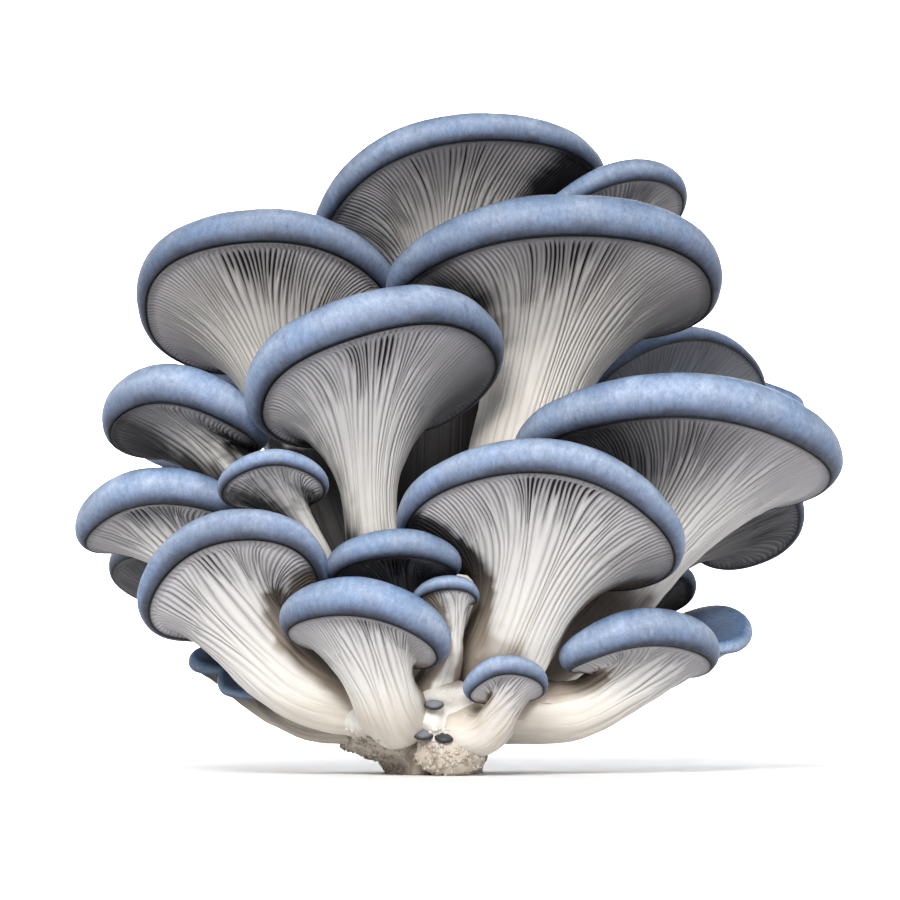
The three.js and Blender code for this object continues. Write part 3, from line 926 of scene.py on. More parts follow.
@dataclass(frozen=True)
class GillFinish:
    """Cool white gills going into a cream stem, with painted shade between the gills.

    rim, middle, neck and stem are its colours on the way down, at their places from the rim (0) by
    the neck (0.5) to the foot (1), the greys under the rim partly its own and partly painted shade,
    and a run is where something starts and ends on the way. streak is what weathered the stem,
    valley the painted shade on the floor between gills, gap the near-black painted shade on that
    floor below the lip, dusk the painted shade on the side of the gills in shade, crevice the brown
    painted shade where the rest of the cluster closes in low down, and soil the dirt at the foot.
    """

    name: str
    rim: Colour
    middle: Colour
    neck: Colour
    stem: Colour = (0.77, 0.745, 0.70)
    places: tuple[float, float, float, float] = (0.0, 0.2, 0.48, 0.75)
    streak: Colour = (0.60, 0.53, 0.44)
    streak_clouds: Cloud = Cloud(5.5, 3.0, 0.6, 0.5, 0.72)
    streak_run: tuple[float, float] = (0.3, 0.6)
    streak_share: float = 0.5
    # Painted shade on the floors of the valleys between the gills.
    valley: Colour = (0.17, 0.16, 0.162)
    valley_power: float = 1.15
    floor_run: tuple[float, float] = (0.35, 0.6)
    # Near-black painted shade on those floors below the lip.
    gap: Colour = (0.010, 0.009, 0.010)
    gap_share: float = 0.97
    # Painted shade on the side of the gills in shade.
    dusk: Colour = (0.045, 0.043, 0.047)
    dusk_share: float = 0.95
    # Painted shade where the rest of the cluster closes in: this brown low down, near black higher
    # up.
    crevice: Colour = (0.25, 0.205, 0.165)
    crevice_height: tuple[float, float] = (0.028, 0.056)
    open_below: float = 0.22
    shut_above: float = 0.46
    closing: float = 0.985
    soil: Colour = (0.56, 0.50, 0.43)
    soil_clouds: Cloud = Cloud(2.2, 4.0, 0.5, 0.25, 0.7)
    soil_shares: tuple[float, float] = (0.35, 1.0)
    fibre_scale: float = 6.0
    fibre_strength: float = 0.32
    roughness: float = 0.58
    sheen: float = 0.25

    def plain_flesh(self, lay: Tree, down: Socket, grain: Socket, shade: Socket) -> Socket:
        """The colour of the flesh before the other painted shade, its greys under the rim already
        partly painted shade.

        Args:
            lay: the material's tree.
            down: how far down the flesh lies.
            grain: its place in the grain.
            shade: the fine fibre's shade.

        Returns:
            The colour.
        """
        # Down the body: the flesh's own greys and cream, darker under the rim partly as painted
        # shade.
        flesh = lay.colours(down, list(zip(self.places, (self.rim, self.middle, self.neck,
                                                         self.stem))))
        streak = lay.math("MULTIPLY", lay.cloud(grain, self.streak_clouds),
                          lay.ramp(down, *self.streak_run, (0.0, self.streak_share)))
        return lay.mix(streak, lay.shaded(flesh, shade), (*self.streak, 1.0))

    def ribbed(self, lay: Tree, flesh: Socket, down: Socket) -> Socket:
        """The colour with painted shade on the floors of the valleys between the gills, near black
        in the gap below the lip.

        Args:
            lay: the material's tree.
            flesh: the colour so far.
            down: how far down the flesh lies.

        Returns:
            The colour.
        """
        # Painted shade on the valleys' floors, near black below the lip where the gap layer is
        # strong.
        valley = lay.math("POWER", read_layer(lay, "valley"), self.valley_power)
        gap = read_layer(lay, "gap")
        floor = lay.mix(gap, (*self.valley, 1.0), (*self.gap, 1.0))
        floor = lay.mix(lay.ramp(down, *self.floor_run), floor, (*self.streak, 1.0))
        fade = lay.math("MULTIPLY", lay.ramp(down, 0.12, 0.5, (1.0, 0.55)),
                        lay.ramp(down, 0.5, 0.85, (1.0, 0.3)))
        flesh = lay.mix(lay.math("MULTIPLY", valley, fade), flesh, floor)
        shallow = lay.math("MULTIPLY_ADD", gap, -0.6, 0.85)
        deepest = lay.math("MULTIPLY_ADD", gap, -0.5, 1.0)
        hollow = lay.math("MULTIPLY", lay.ramp(gap, 0.03, 0.3),
                          lay.ramp(valley, shallow, deepest, (0.0, self.gap_share)))
        return lay.mix(hollow, flesh, (*self.gap, 1.0))

    def sheltered(self, lay: Tree, flesh: Socket, grain: Socket) -> Socket:
        """The colour with painted shade on the side in shade, where the cluster closes in and in
        the crease under the cap, and with the soil at the foot.

        Args:
            lay: the material's tree.
            flesh: the colour so far.
            grain: the flesh's place in the grain.

        Returns:
            The colour.
        """
        # Painted shade on the side of the gills in shade, where the behind layer is strong.
        dusk = lay.math("MULTIPLY", read_layer(lay, "behind"), self.dusk_share)
        flesh = lay.mix(dusk, flesh, (*self.dusk, 1.0))
        # Painted shade where the rest of the cluster closes in, brown low down and near black
        # higher up.
        closed = lay.ramp(read_layer(lay, "closed"), self.open_below, self.shut_above)
        where = lay.node("ShaderNodeTexCoord").outputs["Object"]
        height = lay.node("ShaderNodeSeparateXYZ", {0: where}).outputs[2]
        crevice = lay.mix(lay.ramp(height, *self.crevice_height), (*self.crevice, 1.0),
                          (*self.gap, 1.0))
        flesh = lay.mix(lay.math("MULTIPLY", closed, self.closing), flesh, crevice)
        soil = lay.math("MULTIPLY", read_layer(lay, "soil"),
                        lay.cloud(grain, self.soil_clouds, self.soil_shares))
        flesh = lay.mix(soil, flesh, (*self.soil, 1.0))
        # A painted shadow line in the crease where the gills tuck under the cap.
        return lay.mix(read_layer(lay, "crease"), flesh, (*self.gap, 1.0))

    def material(self, mottle: bpy.types.NodeTree) -> bpy.types.Material:
        """The finish as a material.

        Args:
            mottle: the shared fine fibre group.

        Returns:
            The new material.
        """
        material, lay, shader = new_material(self.name)
        down = lay.math("MULTIPLY", read_layer(lay, "down"), 0.5)
        grain = read_layer(lay, "grain", vector=True)
        fibre = lay.fibre(mottle, grain, self.fibre_scale, self.fibre_strength)
        flesh = self.plain_flesh(lay, down, grain, fibre["Shade"])
        flesh = self.sheltered(lay, self.ribbed(lay, flesh, down), grain)
        lay.feed(shader.inputs["Base Color"], flesh)
        lay.feed(shader.inputs["Specular IOR Level"], self.sheen)
        rough = lay.ramp(fibre["Height"], 0.3, 0.7,
                         (self.roughness - 0.05, self.roughness + 0.1), even=False)
        lay.feed(shader.inputs["Roughness"], rough)
        lay.feed(shader.inputs["Normal"], lay.bump(fibre["Height"], 0.3, 0.0002))
        return material


# The same flesh with more or less painted light and shade, for where each mushroom sits in the
# cluster.
GILL_FINISHES = {
    PaintedShade.SUNNED: GillFinish(
        "Upper gills", rim=(0.29, 0.275, 0.285), middle=(0.42, 0.40, 0.385),
        neck=(0.77, 0.73, 0.675), stem=(0.83, 0.795, 0.735)),
    PaintedShade.OPEN: GillFinish(
        "Open gills", rim=(0.36, 0.35, 0.37), middle=(0.45, 0.44, 0.445),
        neck=(0.68, 0.66, 0.635)),
    PaintedShade.SHELTERED: GillFinish(
        "Sheltered gills", rim=(0.10, 0.105, 0.125), middle=(0.16, 0.17, 0.20),
        neck=(0.40, 0.385, 0.37), stem=(0.56, 0.52, 0.47), crevice=(0.02, 0.019, 0.02),
        closing=0.7),
    PaintedShade.HIDDEN: GillFinish(
        "Hidden gills", rim=(0.05, 0.052, 0.06), middle=(0.075, 0.075, 0.082),
        neck=(0.16, 0.15, 0.14), stem=(0.34, 0.30, 0.26), crevice=(0.05, 0.045, 0.04)),
}


@dataclass(frozen=True)
class BaseFinish:
    """Torn cream flesh at the top of the base, going to rough beige and brown at its cut foot, and
    to brown painted shade higher up where it shows between the stems.
    """

    name: str = "Torn base"
    cream: Colour = (0.70, 0.675, 0.635)
    beige: Colour = (0.49, 0.435, 0.375)
    brown: Colour = (0.19, 0.148, 0.115)
    beige_level: tuple[float, float] = (0.007, 0.0115)
    # Above this level the base shows only between the stems, and turns brown there: painted shade.
    crevice_level: tuple[float, float] = (0.019, 0.025)
    patches: tuple[float, float, float] = (130.0, 5.0, 0.65)
    wander: float = 0.014
    specks: Cloud = Cloud(330.0, 5.0, 0.75, 0.5, 0.62)
    speck_shares: tuple[float, float] = (0.06, 0.7)
    fibre_scale: float = 500.0
    fibre_strength: float = 0.6
    roughness: float = 0.85

    def material(self, mottle: bpy.types.NodeTree) -> bpy.types.Material:
        """The finish as a material.

        Args:
            mottle: the shared fine fibre group.

        Returns:
            The new material.
        """
        material, lay, shader = new_material(self.name)
        where = lay.node("ShaderNodeTexCoord").outputs["Object"]
        height = lay.node("ShaderNodeSeparateXYZ", {0: where}).outputs[2]
        patch = lay.noise(where, *self.patches)
        level = lay.math("ADD", height, lay.math("MULTIPLY", lay.centred(patch), self.wander))
        low = lay.ramp(level, *self.beige_level, (1.0, 0.0))
        flesh = lay.mix(low, (*self.cream, 1.0), (*self.beige, 1.0))
        speck = lay.math("MULTIPLY", lay.cloud(where, self.specks),
                         lay.ramp(low, 0.0, 1.0, self.speck_shares))
        flesh = lay.mix(speck, flesh, (*self.brown, 1.0))
        # Painted shade: brown where the base shows between the stems, above the crevice level.
        deep = lay.ramp(level, *self.crevice_level, (0.0, 0.8))
        flesh = lay.mix(deep, flesh, (*self.brown, 1.0))
        fibre = lay.fibre(mottle, where, self.fibre_scale, self.fibre_strength)
        lay.feed(shader.inputs["Base Color"], lay.shaded(flesh, fibre["Shade"]))
        rough = lay.ramp(patch, 0.3, 0.7, (self.roughness - 0.15, self.roughness + 0.1), even=False)
        lay.feed(shader.inputs["Roughness"], rough)
        lay.feed(shader.inputs["Normal"], lay.bump(fibre["Height"], 0.6, 0.0005))
        return material


@dataclass(frozen=True)
class PinheadFinish:
    """The dark skin of the buttons that never grew."""

    name: str = "Pinhead skin"
    stops: tuple[tuple[float, Colour], ...] = (
        (0.0, (0.012, 0.012, 0.014)),
        (0.6, (0.17, 0.175, 0.195)),
        (1.0, (0.24, 0.27, 0.33)),
    )
    fibre_scale: float = 900.0
    fibre_strength: float = 1.0

    def material(self, mottle: bpy.types.NodeTree) -> bpy.types.Material:
        """The finish as a material.

        Args:
            mottle: the shared fine fibre group.

        Returns:
            The new material.
        """
        material, lay, shader = new_material(self.name)
        fibre = lay.fibre(mottle, lay.node("ShaderNodeTexCoord").outputs["Object"],
                          self.fibre_scale, self.fibre_strength)
        skin = lay.colours(read_layer(lay, "pale"), self.stops)
        lay.feed(shader.inputs["Base Color"], lay.shaded(skin, fibre["Shade"]))
        lay.feed(shader.inputs["Roughness"],
                 lay.ramp(fibre["Height"], 0.3, 0.7, (0.6, 0.4), even=False))
        return material


@dataclass
class Wardrobe:
    """Every material and node tree of the cluster, each made once."""

    mottle: bpy.types.NodeTree = field(default_factory=mottle_group)
    gills: bpy.types.NodeTree = field(default_factory=gill_tree)
    dimples: bpy.types.NodeTree = field(default_factory=dimple_tree)
    torn: bpy.types.NodeTree = field(default_factory=torn_tree)
    cap: dict[PaintedShade, bpy.types.Material] = field(init=False)
    flesh: dict[PaintedShade, bpy.types.Material] = field(init=False)
    base: bpy.types.Material = field(init=False)
    pinhead: bpy.types.Material = field(init=False)

    def __post_init__(self) -> None:
        """Makes the materials."""
        self.cap = {tone: finish.material(self.mottle) for tone, finish in CAP_FINISHES.items()}
        self.flesh = {tone: finish.material(self.mottle) for tone, finish in GILL_FINISHES.items()}
        self.base = BaseFinish().material(self.mottle)
        self.pinhead = PinheadFinish().material(self.mottle)


def declare(piece: bpy.types.Object, slot: str, *nodes: str) -> None:
    """Sets the body that a finished piece rides on, hides the nodes of the part that it stands for
    and logs its faces.

    Args:
        piece: the finished piece.
        slot: not used.
        nodes: the nodes of the part that it stands for.
    """
    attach(piece, BODY)
    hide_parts(*nodes)
    log.info("%s: %d faces", piece.name, len(piece.data.polygons))


# ---- one mushroom ------------------------------------------------------------


@dataclass(frozen=True)
class Mushroom:
    """The sizes of one mushroom.

    rim is the middle of the rim, turn the way the lip points (0 to the front, 90 to the right),
    lift the rise of the lip, bank the rise of its right side, half the rim's half width and half
    depth, roll the rim's radius and droop the fall of the rim's sides. neck is where the gills end
    on the stem and foot where the stem starts, each with its radius after its place. funnel is the
    depth of the hollow in the cap's top, as a share of its half width, apex how much deeper and
    wider the valleys are cut below the lip and how much near-black painted shade lies between the
    gills there, and dusk the side of the gills that gets painted shade, in degrees from the right
    side round by the lip, and how strong that painted shade is. Its finishes carry more or less
    painted light and shade for where it sits in the cluster.
    """

    name: str
    rim: Point
    turn: float
    lift: float
    half: tuple[float, float]
    roll: float
    neck: tuple[float, float, float, float]
    foot: tuple[float, float, float, float]
    bank: float = 0.0
    droop: float = 0.12
    funnel: float = 0.17
    apex: float = 0.6
    dusk: tuple[float, float] = (270.0, 0.5)
    tone: PaintedShade = PaintedShade.OPEN
    growth: Growth = Growth.FULL

    @property
    def relief(self) -> float:
        """The share of the full relief that its skin has room for."""
        return min(1.0, self.roll / FULL_ROLL)


# Each row's apex, dusk and shade level set the painted shade on its gills and cap.
MUSHROOMS = (
    Mushroom("front_left_low", (-15, -42, 35), -6, 28, (17.5, 14.5), 5.2, (-11.5, -40.5, 20.5, 8),
             (-8, -28, 14.5, 8.5), bank=-9, droop=0.1, apex=0.35, dusk=(300, 0.3),
             growth=Growth.YOUNG),
    Mushroom("front_right_bud", (17.5, -40, 22), 15, 37, (8.6, 7), 2.9, (14.9, -36.4, 12.1, 4.8),
             (6, -26.5, 11.3, 8), apex=0.3, dusk=(300, 0.3), growth=Growth.BUD),
    Mushroom("front_slender", (3.6, -35.5, 43.5), 5, 25, (7, 5.6), 1.9, (4.8, -35, 33, 2.9),
             (-0.5, -28, 18, 6), bank=1, apex=0.3, dusk=(300, 0.3), growth=Growth.BUD),
    Mushroom("centre_small", (-9.3, -34, 51.3), 0, 20, (14, 11.5), 3.7, (-6, -22, 38, 4.5),
             (-3, -16, 16, 6), bank=3, apex=0.9, tone=PaintedShade.SHELTERED, growth=Growth.YOUNG),
    Mushroom("front_right", (26.5, -30, 60), 12, 35, (32, 24.5), 5.2, (20.5, -24, 36, 11.5),
             (9, -15, 16, 10), bank=-10, droop=0.09, apex=0.95, dusk=(330, 0.75)),
    Mushroom("front_left", (-46.8, -30, 46.5), -30, 46, (20.5, 15.5), 5.7, (-37.8, -26, 27, 9.7),
             (-10, -16, 16.5, 9), bank=24, droop=0.16, apex=0.5, dusk=(330, 0.45)),
    Mushroom("low_right", (50, -15, 31), 35, 22, (19, 12.5), 5.1, (42, -13, 18.5, 7),
             (14, -10, 15.5, 8.5), bank=-3, droop=0.15, apex=0.08, dusk=(300, 0.25)),
    Mushroom("centre_left", (-13, -14, 96), -3, 37, (29, 24), 6.6, (-15, -8, 62, 6.5),
             (-4, -4, 16, 9), bank=16, droop=-0.12, apex=0.75, dusk=(325, 0.8)),
    Mushroom("left_small", (-38.5, -24, 70.5), -5, 35, (12, 10), 2.5, (-31, -18, 58, 4),
             (-10, -10, 16, 5), bank=5, droop=0.16, apex=0.4, dusk=(300, 0.6), growth=Growth.YOUNG),
    Mushroom("right_large", (61, -3, 79), 18, 20, (38, 32.5), 6.2, (48, 4, 49, 11), (10, 3, 19, 10),
             bank=-6, droop=0.03, apex=0.4, dusk=(164, 1.3)),
    Mushroom("upper_right", (31.5, 6, 123), 6, 28, (39, 28), 6.2, (23.5, 19.5, 88, 12.5),
             (2.5, 8, 17, 11), droop=0.02, apex=0.8, dusk=(325, 0.8), tone=PaintedShade.SUNNED),
    Mushroom("upper_left", (-42, 19, 119), -12, 40, (31, 27), 5.8, (-36, 24.5, 91, 9.5),
             (-6, 10, 17, 10), bank=5, droop=0.03, apex=0.85, dusk=(300, 0.5), tone=PaintedShade.SUNNED),
    Mushroom("left_high", (-61, 6, 88.5), -25, 27, (19, 16), 5.8, (-49, 7, 74, 8), (-11, 1, 17, 8),
             bank=1, droop=0.14, apex=0.3, dusk=(172, 1.5)),
    Mushroom("left_mid", (-66.5, -3, 64.5), -20, 19, (19, 16), 5.1, (-57, -3, 50, 6.5),
             (-12, -6, 16, 7), bank=9, droop=0.17, apex=0.75, dusk=(215, 0.5)),
    Mushroom("top", (6, 34, 150.5), -2, 24, (36.5, 29.5), 4.3, (4, 42, 121, 11.5), (0, 19, 17, 11),
             bank=13, droop=0.13, apex=0.75, dusk=(345, 0.75), tone=PaintedShade.SUNNED),
    Mushroom("top_right_back", (45, 26, 146), 40, 24, (20, 16.5), 3.2, (39.5, 38, 126, 5),
             (5, 25, 17, 6), droop=0.15, apex=0.4, tone=PaintedShade.SUNNED),
    Mushroom("right_high", (59, 50.5, 99), 25, 45, (28.5, 20.5), 2.5, (52, 48, 79, 7),
             (10, 17, 16, 8), bank=8, droop=0.22, apex=0.5, dusk=(180, 0.6), tone=PaintedShade.SHELTERED),
    Mushroom("right_high_back", (85.6, 79, 104.2), 80, -28, (13, 14), 3.1, (74, 75, 87, 5.5),
             (12, 26, 18, 6), bank=-3, growth=Growth.YOUNG),
    Mushroom("right_mid_back", (79, 40, 64), 80, 17, (11, 16.5), 2.8, (59, 34, 52.5, 4.4),
             (14, 13, 15, 6.5), bank=-60, apex=0.2, dusk=(200, 0.7), tone=PaintedShade.HIDDEN),
    Mushroom("right_bud_back", (58.5, 22.5, 46.5), 80, 15, (6, 7.2), 2.6, (51.5, 19.5, 38, 2.4),
             (14, 11.5, 12, 3.5), bank=-45, apex=0.2, tone=PaintedShade.HIDDEN,
             growth=Growth.BUD),
    Mushroom("low_right_back", (67, 15, 35.7), 130, 20, (13.5, 10.5), 2.8, (56, 17, 24, 4.6),
             (15, 6, 13, 6), bank=8, funnel=0.05, apex=0.2, growth=Growth.YOUNG),
    Mushroom("left_low_back", (-64, 30, 49), -50, 30, (19, 16.5), 3.5, (-48, 23, 33, 6.5),
             (-14, 11, 14, 7), tone=PaintedShade.HIDDEN),
    Mushroom("left_bud_1", (-52, 7, 27.5), -140, 20, (8, 6.5), 2.4, (-44, 6, 20, 3.5),
             (-15, 2, 12, 4), tone=PaintedShade.HIDDEN, growth=Growth.BUD),
    Mushroom("left_bud_2", (-43.5, -6, 22), -160, 28, (8.2, 7.4), 2.4, (-34, -6, 13, 3.4),
             (-15, -6, 12, 5), bank=4, tone=PaintedShade.HIDDEN, growth=Growth.BUD),
    Mushroom("back_left_high", (-31, 57, 108), -160, 25, (27, 22), 4.8, (-25, 48, 80, 9),
             (-8, 26, 17, 8.5), growth=Growth.COARSE),
    Mushroom("back_right_high", (32, 71, 82), 160, 25, (24, 19), 4.5, (27, 58.5, 59, 7.5),
             (6, 28, 15, 8), growth=Growth.COARSE),
    Mushroom("back_low", (-12, 66, 44), -172, 28, (22, 17), 4.6, (-8, 51, 25, 7.5), (-2, 29, 14, 8),
             growth=Growth.COARSE),
    Mushroom("back_left", (-58, 52, 84), -120, 24, (22, 18), 4.6, (-45, 41, 59, 7.5),
             (-12, 18, 16, 8), growth=Growth.COARSE),
    Mushroom("back_right_low", (40, 60, 36), 145, 28, (16, 13), 3.8, (32, 50, 22, 6),
             (10, 28, 14, 7), growth=Growth.COARSE),
)


class Form:
    """The lines that one mushroom's skins are drawn through, in millimetres."""

    def __init__(self, sizes: Mushroom, index: int) -> None:
        """Works out the mushroom's directions.

        Args:
            sizes: the mushroom's sizes.
            index: its place in the table, which sets the phase of its waves.
        """
        self.sizes = sizes
        self.phase = GOLDEN_PHASE * index
        self.index = index
        turn, lift, bank = (math.radians(a) for a in (sizes.turn, sizes.lift, sizes.bank))
        self.centre = np.array(sizes.rim, float)
        level = np.array([math.sin(turn), -math.cos(turn), 0.0])
        self.lip = level * math.cos(lift) + np.array([0.0, 0.0, math.sin(lift)])
        self.side = turn_about(np.array([math.cos(turn), math.sin(turn), 0.0]), self.lip, bank)
        self.up = np.cross(self.lip, self.side)
        self.neck_at = np.array(sizes.neck[:3], float)
        self.foot_at = np.array(sizes.foot[:3], float)
        fall = unit(self.centre - self.neck_at)
        self.neck_axis = unit(fall + unit(self.neck_at - self.foot_at))
        self.stem = self.lay_stem()

    def rim_point(self, angle: Array) -> Array:
        """Points along the middle of the rim's roll.

        Args:
            angle: angles from the right side round by the lip, in radians.

        Returns:
            A point for each angle.
        """
        half = self.sizes.half
        c, s = np.cos(angle), np.sin(angle)
        behind = np.arctan2(c, -s) / NOTCH_SPREAD
        wave = np.sin(3 * angle + self.phase) + 0.6 * np.sin(5 * angle + 2 * self.phase)
        size = 1 - NOTCH * np.exp(-behind * behind) + RIPPLE * wave
        reach = half[1] * np.where(s > 0, 1, BACK_REACH)
        rise = RIPPLE * np.sin(2 * angle + self.phase) - self.sizes.droop * c * c
        return (self.centre + np.outer(half[0] * c * size, self.side)
                + np.outer(reach * s * size, self.lip) + np.outer(half[0] * rise, self.up))

    def thickness(self, angle: Array) -> Array:
        """Thickness of the rim at each angle, as a share of the lip's."""
        return BACK_ROLL + (1 - BACK_ROLL) * (0.5 + 0.5 * np.sin(angle)) ** ROLL_TAPER

    def roll_point(self, angle: Array, turned: float, share: float = 1.0) -> Array:
        """Points on the rim's roll.

        Args:
            angle: angles round the rim.
            turned: degrees round the roll, 90 on top, 0 outside and -90 below.
            share: how far from the roll's middle, as a share of its radius.

        Returns:
            A point for each angle.
        """
        step = 0.02
        middle = self.rim_point(angle)
        along = unit(self.rim_point(angle + step) - self.rim_point(angle - step))
        out = unit(np.cross(self.up, along))
        above = np.cross(along, out)
        radius = (share * self.sizes.roll * self.thickness(angle))[:, None]
        t = math.radians(turned)
        return middle + out * (ROLL_WIDTH * radius * math.cos(t)) + above * (radius * math.sin(t))

    def hollow(self) -> Array:
        """The bottom of the hollow in the cap's top, over the stem.

        Returns:
            Its place.
        """
        toward = self.neck_at - self.centre
        aside = flatten(toward, self.up)
        off = float(np.dot(toward, aside))
        depth = min(self.sizes.funnel * self.sizes.half[0], 0.2 * float(np.linalg.norm(toward)))
        shift, limit = HOLLOW_SHIFT
        return self.centre + aside * shift * min(off, limit * self.sizes.half[1]) - self.up * depth

    def top_point(self, angle: Array, share: float) -> Array:
        """Points of the cap's top.

        Args:
            angle: angles round the rim.
            share: how far out, from the hollow (0) to the top of the rim's roll (1).

        Returns:
            A point for each angle.
        """
        start, end = self.hollow()[None, :], self.roll_point(angle, 90)
        out = flatten(end - start, self.up)
        reach = np.linalg.norm(end - start, axis=1, keepdims=True)
        first, last = TOP_HANDLES
        return bezier(start, start + out * first * reach, end - out * last * reach, end, share)

    def under_point(self, angle: Array, gap: float) -> Array:
        """Points where the cap meets the gills half way in, lowered by a gap."""
        fall = FLESH * self.sizes.roll * self.thickness(angle) + gap
        return self.top_point(angle, UNDER_AT) - self.up * fall[:, None]

    def neck_point(self, angle: Array) -> Array:
        """Points of the ring where the gills end on the stem.

        Args:
            angle: angles round the stem.

        Returns:
            A point for each angle.
        """
        lip = flatten(self.lip, self.neck_axis)
        side = np.cross(self.neck_axis, lip)
        radius = self.sizes.neck[3]
        return (self.neck_at + radius * np.outer(np.cos(angle), side)
                + radius * np.outer(np.sin(angle), lip))

    def gill_point(self, angle: Array, share: float) -> Array:
        """Points on the crests of the gills.

        Args:
            angle: angles round the rim.
            share: how far down, from under the rim (0) to the neck (1).

        Returns:
            A point for each angle.
        """
        start, end = self.roll_point(angle, GILL_TURN, GILL_CREST), self.neck_point(angle)
        inward = flatten(self.rim_point(angle + math.pi) - self.rim_point(angle), self.up)
        apart = np.linalg.norm(start - end, axis=1, keepdims=True)
        fall = np.maximum(dot(start - end, self.neck_axis), GILL_FALL * apart)
        across = np.sqrt(np.maximum(apart**2 - fall**2, 1))
        drop = GILL_FALL * (1.5 - self.thickness(angle))[:, None] * across
        first, last = GILL_HANDLES
        return bezier(start, start + inward * first * across - self.up * drop,
                      end + self.neck_axis * last * fall, end, share)

    def gill_inward(self, angle: Array, share: float) -> Array:
        """Directions from the crests of the gills into the flesh.

        Args:
            angle: angles round the rim.
            share: how far down the gills.

        Returns:
            A unit direction for each angle.
        """
        step = 0.01
        along = self.gill_point(angle + step, share) - self.gill_point(angle - step, share)
        down = (self.gill_point(angle, min(1.0, share + step))
                - self.gill_point(angle, max(0.0, share - step)))
        return unit(np.cross(down, along))

    def lay_stem(self) -> list[tuple[Array, Array, Array, Array, float]]:
        """Places along the stem, each with its axis, lip side, right side and radius.

        Returns:
            STEM_STEPS + 1 places, from the foot to the neck.
        """
        reach = STEM_HANDLE * float(np.linalg.norm(self.neck_at - self.foot_at))
        leave = unit(self.neck_at - self.foot_at)
        leave = unit(leave + STEM_SPLAY * np.array([self.foot_at[0], self.foot_at[1], 0.0]))
        path = (self.foot_at, self.foot_at + leave * reach,
                self.neck_at - self.neck_axis * reach, self.neck_at)
        lip = flatten(self.lip, self.neck_axis)
        places = []
        for i in range(STEM_STEPS, -1, -1):
            t = i / STEM_STEPS
            ahead, behind = min(1.0, t + 0.002), max(0.0, t - 0.002)
            axis = unit(bezier(*path, ahead) - bezier(*path, behind))
            lip = flatten(lip, axis)
            radius = self.sizes.foot[3] + (self.sizes.neck[3] - self.sizes.foot[3]) * t
            places.append((bezier(*path, t), axis, lip, np.cross(axis, lip), radius))
        return places[::-1]


# ---- shelter -----------------------------------------------------------------


